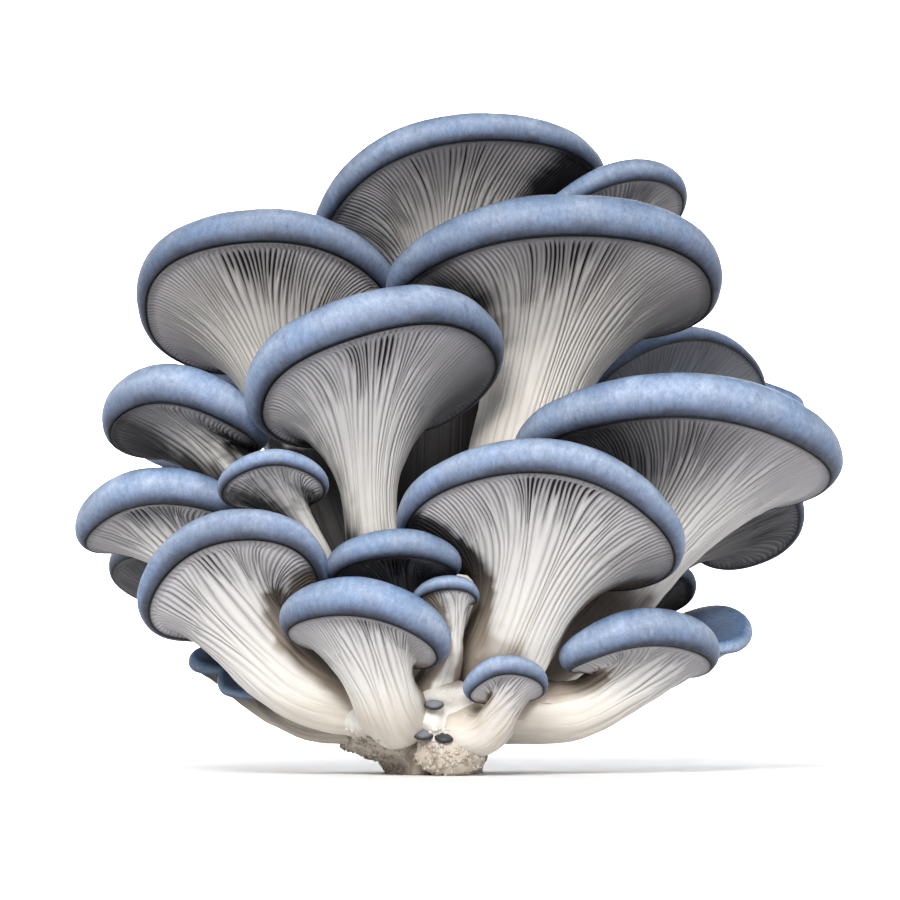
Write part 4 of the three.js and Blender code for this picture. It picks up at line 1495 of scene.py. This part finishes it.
@dataclass
class Shelter:
    """How closed in a place is by the rest of the cluster, which sets how much painted shade the
    flesh gets there.

    Each pair is where the painted shade starts and where it is full. far is the flesh at the back
    between the tall stems, near the flesh between the stems left of the middle, both given painted
    shade outright, and facing how far the flesh there looks to the front. aslant is a direction
    that the rays are laid out from.
    """

    forms: list[Form]
    reach: float = 42.0
    columns: int = 28
    lift: float = 1.2
    rays: int = 18
    far_depth: tuple[float, float] = (18.0, 26.0)
    far_height: tuple[float, float] = (88.0, 108.0)
    far_width: tuple[float, float] = (46.0, 54.0)
    near_depth: tuple[float, float] = (6.0, 12.0)
    near_height: tuple[float, float] = (74.0, 86.0)
    near_width: tuple[float, float] = (16.0, 24.0)
    near_middle: float = -18.0
    facing: tuple[float, float] = (-0.2, 0.4)
    ray_spread: float = 0.94
    aslant: Point = (0.31, 0.17, 0.93)
    tree: BVHTree = field(init=False)
    fan: Array = field(init=False)

    def __post_init__(self) -> None:
        """Builds the coarse shape of the cluster that the rays meet, and the rays."""
        points: list[Array] = []
        faces: list[Array] = []
        start = 0
        for form in self.forms:
            for skin in (self.coarse_cap(form), self.coarse_body(form)):
                found = skin.faces()
                points += skin.points
                faces.append(found + start)
                start += sum(len(ring) for ring in skin.points)
        every = np.concatenate(points)
        self.tree = BVHTree.FromPolygons(every.tolist(), np.concatenate(faces).tolist())
        k = np.arange(self.rays) + 0.5
        height = np.sqrt(1 - k / self.rays * self.ray_spread)
        turn = k * math.pi * (3 - math.sqrt(5))
        flat = np.sqrt(1 - height**2)
        self.fan = np.column_stack([flat * np.cos(turn), flat * np.sin(turn), height])

    def coarse_cap(self, form: Form) -> Skin:
        """A cap in a few rings.

        Args:
            form: its mushroom's lines.

        Returns:
            The coarse skin.
        """
        angle = around(self.columns)
        skin = Skin()
        skin.add(form.hollow())
        skin.add(form.top_point(angle, 0.6))
        for turned in (90, 30, -30, SKIN_END):
            skin.add(form.roll_point(angle, turned))
        skin.add(form.under_point(angle, 0.0))
        skin.add(form.hollow() - form.up * FLESH * form.sizes.roll)
        return skin

    def coarse_body(self, form: Form) -> Skin:
        """A body in a few rings.

        Args:
            form: its mushroom's lines.

        Returns:
            The coarse skin.
        """
        angle = around(self.columns)
        skin = Skin()
        skin.add(form.hollow() - form.up * (FLESH * form.sizes.roll + GAP))
        skin.add(form.under_point(angle, GAP))
        for share in (0.0, 0.2, 0.45, 0.7, 1.0):
            skin.add(form.gill_point(angle, share))
        for at, _, lip, side, radius in form.stem[::-4]:
            skin.add(at + radius * (np.outer(np.cos(angle), side) + np.outer(np.sin(angle), lip)))
        skin.add(form.stem[0][0])
        return skin

    def at(self, points: Array, outward: Array) -> Array:
        """How sheltered a ring of points is.

        Args:
            points: the ring's points, in millimetres.
            outward: the unit direction out of the flesh at each.

        Returns:
            For each point a number from 0 in the open to 1 where every ray soon meets the cluster.
        """
        count = len(points)
        picked = np.linspace(0, count, self.columns, endpoint=False).astype(int)
        found = []
        for i in picked:
            z = outward[i]
            x = unit(np.cross(z, self.aslant))
            y = np.cross(z, x)
            start = Vector(points[i] + z * self.lift)
            met = 0.0
            for ray in self.fan:
                toward = Vector(ray[0] * x + ray[1] * y + ray[2] * z)
                distance = self.tree.ray_cast(start, toward, self.reach)[3]
                if distance is not None:
                    met += 1 - distance / self.reach
            found.append(met / len(self.fan))
        # Painted shade laid outright on the flesh deep between the stems, at the back and left of
        # the middle.
        x, y, z = points.T
        far = (smooth(y, *self.far_depth) * (1 - smooth(z, *self.far_height))
               * (1 - smooth(np.abs(x), *self.far_width)))
        near = (smooth(y, *self.near_depth) * (1 - smooth(z, *self.near_height))
                * (1 - smooth(np.abs(x - self.near_middle), *self.near_width)))
        deep = np.maximum(far, near) * smooth(-outward[:, 1], *self.facing)
        return np.maximum(deep, np.interp(np.arange(count), picked, found, period=count))


# ---- caps --------------------------------------------------------------------


@dataclass
class Cap:
    """One blue cap: its funnelled top, its inrolled rim and the flesh under it.

    swell and dimple are the heights of its unevenness in millimetres, rise how fast the pattern of
    its skin runs along its profile, under_band the place on the colour band, past its end and so in
    its darkest painted shade, of what is out of sight under the rim, and top_ninths how many ninths
    of its rows lie on its top.
    """

    form: Form
    swell: float = 0.9
    dimple: float = 0.16
    rise: float = 0.045
    under_band: float = 2.2
    top_ninths: int = 4

    def build(self) -> bpy.types.Object:
        """The cap's smooth skin, with its layers.

        Returns:
            The new object.
        """
        form, growth = self.form, self.form.sizes.growth
        angles = around(growth.cap_columns)
        size = 0.5 * sum(form.sizes.half) * PATTERN
        turn = np.stack([np.cos(angles), np.sin(angles)], 1) * size
        skin = Skin()

        def ring(points: Array, band: float, along: float, free: float = 1.0) -> None:
            """Adds a ring at a place on the colour band and a length along the cap's profile."""
            weave = np.column_stack([turn, np.full(len(turn), along * self.rise + form.index)])
            skin.add(points, band=band, weave=weave, free=free)

        skin.add(form.hollow(), band=0.0, weave=np.array([0.0, 0.0, form.index]), free=0.3)
        top_rows = growth.cap_rows * self.top_ninths // 9
        reach = form.sizes.half[0]
        for share in np.linspace(0, 1, top_rows + 1)[1:-1]:
            points = form.top_point(angles, float(share))
            rise = np.full(len(turn), form.index + self.rise * reach * share)
            weave = np.column_stack([turn * share, rise])
            skin.add(points, band=float(share), weave=weave, free=0.6 + 0.4 * float(share))
        roll_rows = growth.cap_rows - top_rows
        arc = math.radians(90 - SKIN_END) * form.sizes.roll
        for t in np.linspace(0, 1, roll_rows):
            turned = 90 + (SKIN_END - 90) * float(t)
            ring(form.roll_point(angles, turned), 1 + float(t), reach + arc * float(t),
                 free=1 - 0.8 * float(smooth(t, 0.8, 1)))
        # The flesh tucked under the rim takes the band's dark end: painted shade.
        for points in (form.roll_point(angles, *SKIN_LEAVE), form.roll_point(angles, *TUCK),
                       form.under_point(angles, 0.0)):
            ring(points, self.under_band, reach + arc, free=0.0)
        under = form.hollow() - form.up * FLESH * form.sizes.roll
        skin.add(under, band=self.under_band, weave=np.array([0.0, 0.0, form.index]), free=0.0)
        return skin.to_object("skin_" + form.sizes.name)

    def dress(self, wardrobe: Wardrobe) -> bpy.types.Object:
        """Args:
            wardrobe: the materials and trees.

        Returns:
            The finished piece.
        """
        piece = self.build()
        relief = self.form.sizes.relief
        settle(piece, grow(piece, wardrobe.dimples,
                           {"Swell": self.swell * relief * MM, "Dimple": self.dimple * relief * MM,
                            "Skin": wardrobe.cap[self.form.sizes.tone]}))
        declare(piece, "cap_skin", "cap_" + self.form.sizes.name)
        return piece


# ---- gills and stems ---------------------------------------------------------


@dataclass
class GilledStem:
    """The cream body of one mushroom: gills under the cap, merging into folds down the stem.

    roll_rings are the rings on the underside of the rim's roll, each with its degrees, its room for
    valleys and how strong the painted shadow line of the crease under the cap is there. row_ends
    are the places down the gills where the rows change their spacing, and past the first of them a
    ring has half as many points. gill_room and stem_room are the room for valleys at places down
    the gills and up the stem, and rise how fast the grain runs. apex_spread is how far round the
    rim the painted shade below the lip reaches.
    """

    form: Form
    shelter: Shelter
    depth: float = 1.75
    unevenness: float = 0.8
    first_rows: int = 14
    second_rows: int = 9
    third_rows: int = 7
    rim_points: int = 16
    neck_points: int = 8
    foot_points: int = 4
    plain_share: float = 0.5
    gills_per_fold: int = 4
    least_folds: int = 10
    roll_rings: tuple[tuple[float, float, float], ...] = (
        (GILL_START, 0.0, 1.0), (-90.0, 0.1, 0.4), (-101.0, 0.2, 0.1))
    row_ends: tuple[float, float] = (0.46, 0.78)
    gill_room: tuple[tuple[float, ...], tuple[float, ...]] = (
        (0.0, 0.15, 0.4, 0.7, 1.0), (0.3, 0.52, 0.72, 0.55, 0.32))
    stem_room: tuple[tuple[float, ...], tuple[float, ...]] = (
        (0.1, 0.4, 0.75, 1.0), (0.0, 0.05, 0.16, 0.3))
    lobe: float = 0.035
    rise: float = 0.02
    apex_spread: float = 0.45
    soil_levels: tuple[float, float] = (12.0, 22.0)
    soil_share: float = 0.8

    def folds(self) -> int:
        """How many folds go all the way down the stem.

        Returns:
            More of them for a longer rim.
        """
        half = self.form.sizes.half
        rim = math.pi * (half[0] + half[1])
        gills = rim / self.form.sizes.growth.pitch
        return max(self.least_folds, round(gills / self.gills_per_fold))

    def warp(self, angle: Array, down: float, folds: int) -> Array:
        """How far the gills stray sideways.

        Args:
            angle: angles round the rim.
            down: how far down the gills, past 1 on the stem.
            folds: how many folds the body has.

        Returns:
            The stray at each angle, in radians.
        """
        phase = self.form.phase
        stray = (0.34 * np.sin(3 * angle + phase + 2.2 * down)
                 + 0.22 * np.sin(7 * angle + 1.7 * phase - 3.1 * down)
                 + 0.14 * np.sin(13 * angle + 2.9 * phase + 4.7 * down))
        return stray * (2 * math.pi / folds) * min(1.0, 0.35 + down)

    def build(self) -> bpy.types.Object:
        """The smooth body, with the layers that the gill rule and the finish read.

        Returns:
            The new object.
        """
        form = self.form
        folds = self.folds()
        skin = Skin()
        size = 0.5 * sum(form.sizes.half)
        relief = form.sizes.relief

        def ring(points: Array, inward: Array, angle: Array, down: float, room: Array | float,
                 crease: float = 0.0, length: float = 0.0) -> None:
            """Adds a ring of the body with every layer.

            Args:
                points: the ring's points.
                inward: the direction into the flesh at each, or zeros where it is out of sight.
                angle: the angle round the rim of each.
                down: how far down the gills (0 to 1) or the stem (1 to 2) the ring lies.
                room: how deep the valleys may go there.
                crease: how strong the painted shadow line of the crease is there.
                length: how far the grain has run, in millimetres.
            """
            across = np.arange(len(points)) * (folds / len(points))
            # gap marks the valleys below the lip: they are cut deeper there and get near-black
            # painted shade.
            from_lip = (angle + math.pi / 2) % (2 * math.pi) - math.pi
            front = np.exp(-((from_lip / self.apex_spread) ** 2))
            gap = (form.sizes.apex * front * smooth(down, 0.0, 0.06)
                   * (1 - smooth(down, 0.14, 0.55)))
            # behind is painted shade on one side of the gills, fading out towards the neck.
            side, share = form.sizes.dusk
            off = (angle - math.radians(side) + math.pi) % (2 * math.pi) - math.pi
            behind = share * np.exp(-off * off) * (1 - smooth(down, 0.4, 0.95))
            soil = self.soil_share * (1 - smooth(points[:, 2], *self.soil_levels))
            grain = np.column_stack([np.cos(angle) * size * PATTERN, np.sin(angle) * size * PATTERN,
                                     np.full(len(points), form.index + self.rise * length)])
            # closed is painted shade where rays soon meet the rest of the cluster.
            closed = self.shelter.at(points, -inward) if inward.any() else 0.0
            skin.add(points, across=across, down=down, inward=inward, room=room, gap=gap,
                     behind=behind, closed=closed, crease=crease, soil=soil, grain=grain)

        def pole(point: Array, down: float) -> None:
            """Adds a pole of the body.

            Args:
                point: the pole.
                down: how far down the body it lies.
            """
            skin.add(point, across=0.0, down=down, inward=np.zeros(3), room=0.0, gap=0.0,
                     behind=0.0, closed=0.0, crease=0.0, soil=0.0,
                     grain=np.array([0.0, 0.0, form.index]))

        wide = folds * self.rim_points
        angle = around(wide)
        still = np.zeros((wide, 3))
        pole(form.hollow() - form.up * (FLESH * form.sizes.roll + GAP), 0.0)
        # The rings tucked under the cap carry the full painted shadow line of the crease.
        ring(form.under_point(angle, GAP), still, angle, 0.0, 0.0, crease=1.0)
        ring(form.roll_point(angle, *TUCK) - form.up * 2 * GAP, still, angle, 0.0, 0.0, crease=1.0)
        ring(form.roll_point(angle, *GILL_LEAVE), still, angle, 0.0, 0.0, crease=1.0)
        for turned, room, crease in self.roll_rings:
            points = form.roll_point(angle, turned, GILL_CREST)
            inward = unit(form.rim_point(angle) - points)
            ring(points, inward, angle, 0.0, room * relief * form.thickness(angle), crease=crease)

        first_end, second_end = self.row_ends
        shares = np.concatenate([np.linspace(0, first_end, self.first_rows),
                                 np.linspace(first_end, second_end, self.second_rows + 1)[1:],
                                 np.linspace(second_end, 1.0, self.third_rows + 1)[1:]])
        length = float(np.linalg.norm(form.centre - form.neck_at))
        for row, share in enumerate(float(s) for s in shares):
            parts = self.rim_points if row < self.first_rows else self.neck_points
            plain = around(folds * parts)
            angle = plain + self.warp(plain, share, folds)
            room = np.interp(share, *self.gill_room) * relief
            room = room * (0.45 + 0.55 * form.thickness(angle))
            ring(form.gill_point(angle, share), form.gill_inward(angle, share), angle, share, room,
                 length=length * share)

        stem_length = float(np.linalg.norm(form.neck_at - form.foot_at))
        for i in range(STEM_STEPS - 2, -1, -2):
            at, _, lip, side, radius = form.stem[i]
            t = i / STEM_STEPS
            plain = around(folds * (self.neck_points if t > self.plain_share else self.foot_points))
            down = 2 - t
            angle = plain + self.warp(plain, 1.0 + 0.6 * (1 - t), folds)
            lobes = 1 + self.lobe * (1 - abs(2 * t - 1)) * np.sin(4 * angle + form.phase + 2.5 * t)
            out = np.outer(np.cos(angle), side) + np.outer(np.sin(angle), lip)
            room = np.interp(t, *self.stem_room) * relief
            ring(at + out * (radius * lobes)[:, None], -out, angle, down, room,
                 length=length + stem_length * (1 - t))
        pole(form.stem[0][0] - form.stem[0][1] * 0.2 * form.sizes.foot[3], 2.0)
        return skin.to_object("body_" + form.sizes.name)

    def dress(self, wardrobe: Wardrobe) -> bpy.types.Object:
        """Args:
            wardrobe: the materials and trees.

        Returns:
            The finished piece.
        """
        piece = self.build()
        settle(piece, grow(piece, wardrobe.gills,
                           {"Depth": self.depth * MM, "Unevenness": self.unevenness * MM,
                            "Folds": self.folds(), "Seed": 11 * self.form.index,
                            "Flesh": wardrobe.flesh[self.form.sizes.tone]}))
        declare(piece, "gills_and_stem", "stem_" + self.form.sizes.name)
        return piece


# ---- pinheads ----------------------------------------------------------------


@dataclass(frozen=True)
class Pinhead:
    """A mushroom that never grew: its place, its radius and how pale it is."""

    at: Point
    radius: float
    pale: float


@dataclass
class Pinheads:
    """The dark little buttons on the front of the base."""

    heads: tuple[Pinhead, ...] = (
        Pinhead((0.7, -36.3, 17.0), 2.4, 0.75),
        Pinhead((-1.9, -34.0, 9.9), 2.6, 0.6),
        Pinhead((3.2, -34.6, 9.2), 2.5, 0.1),
        Pinhead((-26.0, -19.0, 11.5), 1.4, 0.0),
    )
    facing: Point = (0.0, -0.4, 0.917)
    flatness: float = 0.42
    columns: int = 20
    tilts: tuple[int, ...] = (-60, -35, -10, 15, 35, 50, 65, 80)
    pale_from: tuple[int, int] = (5, 45)

    def build(self, wardrobe: Wardrobe) -> bpy.types.Object:
        """All the pinheads as one mesh object, which the base takes in.

        Args:
            wardrobe: the materials and trees.

        Returns:
            The new object.
        """
        out = np.array(self.facing)
        right = np.array([1.0, 0.0, 0.0])
        over = np.cross(out, right)
        angle = around(self.columns)
        skins = []
        for head in self.heads:
            skin = Skin()
            skin.add(head.at - out * self.flatness * head.radius, pale=0.0)
            for tilt in self.tilts:
                t = math.radians(tilt)
                ring = np.outer(np.cos(angle), right) + np.outer(np.sin(angle), over)
                skin.add(head.at + ring * head.radius * math.cos(t)
                         + out * self.flatness * head.radius * math.sin(t),
                         pale=head.pale * float(smooth(tilt, *self.pale_from)))
            skin.add(head.at + out * self.flatness * head.radius, pale=head.pale)
            skins.append(skin)
        mesh = mesh_of("pinheads", *joined(skins))
        pale = np.concatenate([row for skin in skins for row in skin.layers["pale"]])
        made = mesh.attributes.new("pale", "FLOAT", "POINT")
        made.data.foreach_set("value", pale.astype(np.float32))
        mesh.materials.append(wardrobe.pinhead)
        return link("pinheads", mesh)


# ---- the base ----------------------------------------------------------------


@dataclass(frozen=True)
class ButtRing:
    """One ring of the lump that the stems share: its height, half width, half depth and middle."""

    level: float
    half: tuple[float, float]
    middle: tuple[float, float]


@dataclass
class Base:
    """The torn lump under the stems, with their grown-in feet and the crumbs stuck to it."""

    forms: list[Form]
    rings: tuple[ButtRing, ...] = (
        ButtRing(-2.5, (11.2, 25.5), (0.5, 1)),
        ButtRing(0, (11.4, 25.6), (0.5, 1)),
        ButtRing(3, (12.5, 27.5), (0, 1)),
        ButtRing(6.5, (18.2, 28.7), (-4, 1)),
        ButtRing(13, (21, 28), (-1, 2)),
    )
    top: float = 22.0
    swellings: tuple[tuple[Point, Point], ...] = (
        ((3.6, -33.0, 20.0), (7.0, 4.2, 3.4)),
        ((7.0, -31.0, 15.5), (4.5, 3.6, 3.4)),
        ((0.7, -34.2, 13.2), (1.9, 2.4, 3.6)),
        ((-1.0, -30.0, 13.0), (5.0, 4.0, 4.5)),
        ((-12.0, -26.0, 13.0), (9.0, 6.5, 5.0)),
        ((9.0, -27.0, 11.0), (8.0, 6.0, 5.0)),
        ((4.5, -31.0, 5.2), (8.5, 5.2, 5.4)),
    )
    swelling_tilt: int = 75
    grain: float = 0.95
    ease: float = 0.6
    ease_rounds: int = 7
    root_share: float = 0.42
    sunk: float = 0.5
    ragged: float = 2.4
    torn_top: float = 11.5
    crumb: float = 0.8
    crumbs_per_area: float = 420000.0
    seed: int = 5

    def butt(self) -> Skin:
        """The ragged lump itself, reaching a little below the cut that trims it flat.

        Returns:
            Its skin.
        """
        angle = around(72)
        skin = Skin()
        skin.add(np.array([*self.rings[0].middle, self.rings[0].level]))
        for part in self.rings:
            ragged = (1 + 0.04 * np.sin(5 * angle + part.level)
                      + 0.03 * np.sin(9 * angle - 2 * part.level))
            skin.add(np.column_stack([part.middle[0] + part.half[0] * ragged * np.cos(angle),
                                      part.middle[1] + part.half[1] * ragged * np.sin(angle),
                                      np.full(len(angle), part.level)]))
        skin.add(np.array([0.0, 3.0, self.top]))
        return skin

    def root(self, form: Form) -> Skin:
        """The foot of one stem, as far as it has grown into the base.

        Args:
            form: its mushroom's lines.

        Returns:
            Its skin.
        """
        skin = Skin()
        angle = around(20)
        last = round(self.root_share * STEM_STEPS)
        skin.add(form.stem[0][0] - form.stem[0][1] * 0.3 * form.sizes.foot[3])
        for at, _, lip, side, radius in form.stem[: last + 1]:
            reach = radius - self.sunk
            skin.add(at + reach * (np.outer(np.cos(angle), side) + np.outer(np.sin(angle), lip)))
        skin.add(form.stem[last][0] + form.stem[last][1] * 0.3 * form.stem[last][4])
        return skin

    def swelling(self, at: Point, half: Point) -> Skin:
        """A rounded lump of flesh.

        Args:
            at: its middle.
            half: its half sizes.

        Returns:
            Its skin.
        """
        angle = around(24)
        skin = Skin()
        skin.add(np.array([at[0], at[1], at[2] - half[2]]))
        for tilt in np.linspace(-self.swelling_tilt, self.swelling_tilt, 9):
            t = math.radians(float(tilt))
            skin.add(np.column_stack([at[0] + half[0] * math.cos(t) * np.cos(angle),
                                      at[1] + half[1] * math.cos(t) * np.sin(angle),
                                      np.full(len(angle), at[2] + half[2] * math.sin(t))]))
        skin.add(np.array([at[0], at[1], at[2] + half[2]]))
        return skin

    def build(self) -> bpy.types.Object:
        """The lump, the feet and the swellings, melted into one skin.

        Returns:
            The new object.
        """
        skins = [self.butt()]
        skins += [self.root(form) for form in self.forms]
        skins += [self.swelling(at, half) for at, half in self.swellings]
        piece = link("base_flesh", mesh_of("base_flesh", *joined(skins)))
        melt = piece.modifiers.new("Melt", "REMESH")
        melt.mode = "VOXEL"
        melt.voxel_size = self.grain * MM
        ease = piece.modifiers.new("Ease", "SMOOTH")
        ease.factor = self.ease
        ease.iterations = self.ease_rounds
        graph = bpy.context.evaluated_depsgraph_get()
        mesh = bpy.data.meshes.new_from_object(piece.evaluated_get(graph), depsgraph=graph)
        piece.modifiers.clear()
        settle(piece, mesh)
        return piece

    def dress(self, wardrobe: Wardrobe) -> bpy.types.Object:
        """Args:
            wardrobe: the materials and trees.

        Returns:
            The finished piece.
        """
        piece = self.build()
        buds = Pinheads().build(wardrobe)
        settle(piece, grow(piece, wardrobe.torn,
                           {"Ragged": self.ragged * MM, "Top": self.torn_top * MM,
                            "Crumb size": self.crumb * MM, "Crumbs per area": self.crumbs_per_area,
                            "Seed": self.seed, "Flesh": wardrobe.base, "Crumb": wardrobe.base,
                            "Pinheads": buds}))
        bpy.data.objects.remove(buds)
        mesh = piece.data
        points = np.empty(len(mesh.vertices) * 3, np.float32)
        mesh.vertices.foreach_get("co", points)
        points[2::3] = np.maximum(points[2::3], 0.0)
        mesh.vertices.foreach_set("co", points)
        mesh.update()
        declare(piece, "base_flesh", "base")
        return piece


# ---- the studio --------------------------------------------------------------


@dataclass
class Studio:
    """A pale sweep of floor and backdrop, soft lamps and the camera."""

    aim: Point = (0.0045, 0.0, 0.0805)
    distance: float = 0.9
    fall: float = 0.0629
    lens: float = 144.35
    white: Colour = (0.92, 0.92, 0.925)
    sweep_start: float = 1.1
    sweep_radius: float = 0.9
    sweep_reach: float = 4.0
    sky: Colour = (0.97, 0.98, 1.0)
    sky_strength: float = 0.16

    def lay_floor(self) -> bpy.types.Object:
        """The floor, which sweeps up behind the cluster.

        Returns:
            The finished piece of stage.
        """
        start, radius = self.sweep_start, self.sweep_radius
        profile = [(-3.0, 0.0), (start, 0.0)]
        profile += [(start + radius * math.sin(a), radius - radius * math.cos(a))
                    for a in np.linspace(0.05, math.pi / 2, 16)]
        profile.append((start + radius, self.sweep_reach))
        left = np.array([(-self.sweep_reach, y, z) for y, z in profile])
        right = left * np.array([-1, 1, 1])
        n = len(profile)
        faces = [(i, n + i, n + i + 1) for i in range(n - 1)]
        faces += [(i, n + i + 1, i + 1) for i in range(n - 1)]
        floor = link("sweep", mesh_of("sweep", np.concatenate([left, right]), np.array(faces)))
        material, lay, shader = new_material("White paper")
        where = lay.node("ShaderNodeTexCoord").outputs["Object"]
        grain = lay.noise(where, 900.0, 2.0)
        tint = lay.ramp(grain, 0.3, 0.7, (0.985, 1.0), even=False)
        lay.feed(shader.inputs["Base Color"], lay.shaded((*self.white, 1.0), tint))
        shader.inputs["Roughness"].default_value = 0.9
        floor.data.materials.append(material)
        return floor

    def hang_lamp(self, name: str, at: Point, size: float, power: float, colour: Colour,
                  aim: Point | None = None, spread: float = 180.0) -> None:
        """Hangs a square soft lamp.

        Args:
            name: the lamp's name.
            at: its place, in metres.
            size: the length of its sides.
            power: its power in watts.
            colour: the colour of its light.
            aim: where it looks, the cluster if none is given.
            spread: the angle its light fans out through, in degrees.
        """
        data = bpy.data.lights.new(name, "AREA")
        data.shape = "SQUARE"
        data.size = size
        data.energy = power
        data.color = colour
        data.spread = math.radians(spread)
        lamp = bpy.data.objects.new(name, data)
        lamp.location = at
        toward = Vector(aim or self.aim) - Vector(at)
        lamp.rotation_euler = toward.to_track_quat("-Z", "Y").to_euler()
        bpy.context.collection.objects.link(lamp)

    def light(self) -> None:
        """Sets the soft lamps and the even light all round."""
        self.hang_lamp("Key", (-0.2, -1.2, 0.75), size=0.5, power=23.0, colour=(1.0, 0.985, 0.96))
        self.hang_lamp("Fill", (0.85, -1.0, 0.4), size=0.6, power=3.0, colour=(0.96, 0.98, 1.0))
        self.hang_lamp("Top", (0.0, -0.25, 1.2), size=0.6, power=3.0, colour=(0.93, 0.96, 1.0))
        self.hang_lamp("Backdrop", (0.0, 0.75, 1.9), size=1.2, power=75.0, colour=(1.0, 1.0, 1.0),
                       aim=(0.0, 2.0, 0.55), spread=100.0)
        world = bpy.data.worlds.new("Even light")
        world.use_nodes = True
        sky = world.node_tree.nodes["Background"]
        sky.inputs["Color"].default_value = (*self.sky, 1.0)
        sky.inputs["Strength"].default_value = self.sky_strength
        bpy.context.scene.world = world

    def set_camera(self) -> None:
        """Puts the camera a little below the middle of the cluster, looking slightly up."""
        data = bpy.data.cameras.new("Camera")
        data.lens = self.lens
        data.sensor_width = 36.0
        camera = bpy.data.objects.new("Camera", data)
        at = Vector(self.aim) + Vector((0.0, -self.distance, -self.fall))
        camera.location = at
        camera.rotation_euler = (Vector(self.aim) - at).to_track_quat("-Z", "Y").to_euler()
        bpy.context.collection.objects.link(camera)
        bpy.context.scene.camera = camera
        bpy.context.scene.view_settings.view_transform = "Standard"


# ---- the whole ---------------------------------------------------------------


def main() -> None:
    """Builds the studio and the cluster, and reports each piece."""
    logging.basicConfig(level=logging.INFO, format="%(name)s: %(message)s")
    studio = Studio()
    studio.set_camera()
    studio.lay_floor()
    studio.light()
    wardrobe = Wardrobe()
    forms = [Form(sizes, index) for index, sizes in enumerate(MUSHROOMS)]
    shelter = Shelter(forms)
    for form in forms:
        Cap(form).dress(wardrobe)
        GilledStem(form, shelter).dress(wardrobe)
    Base(forms).dress(wardrobe)


if __name__ == "__main__":
    main()
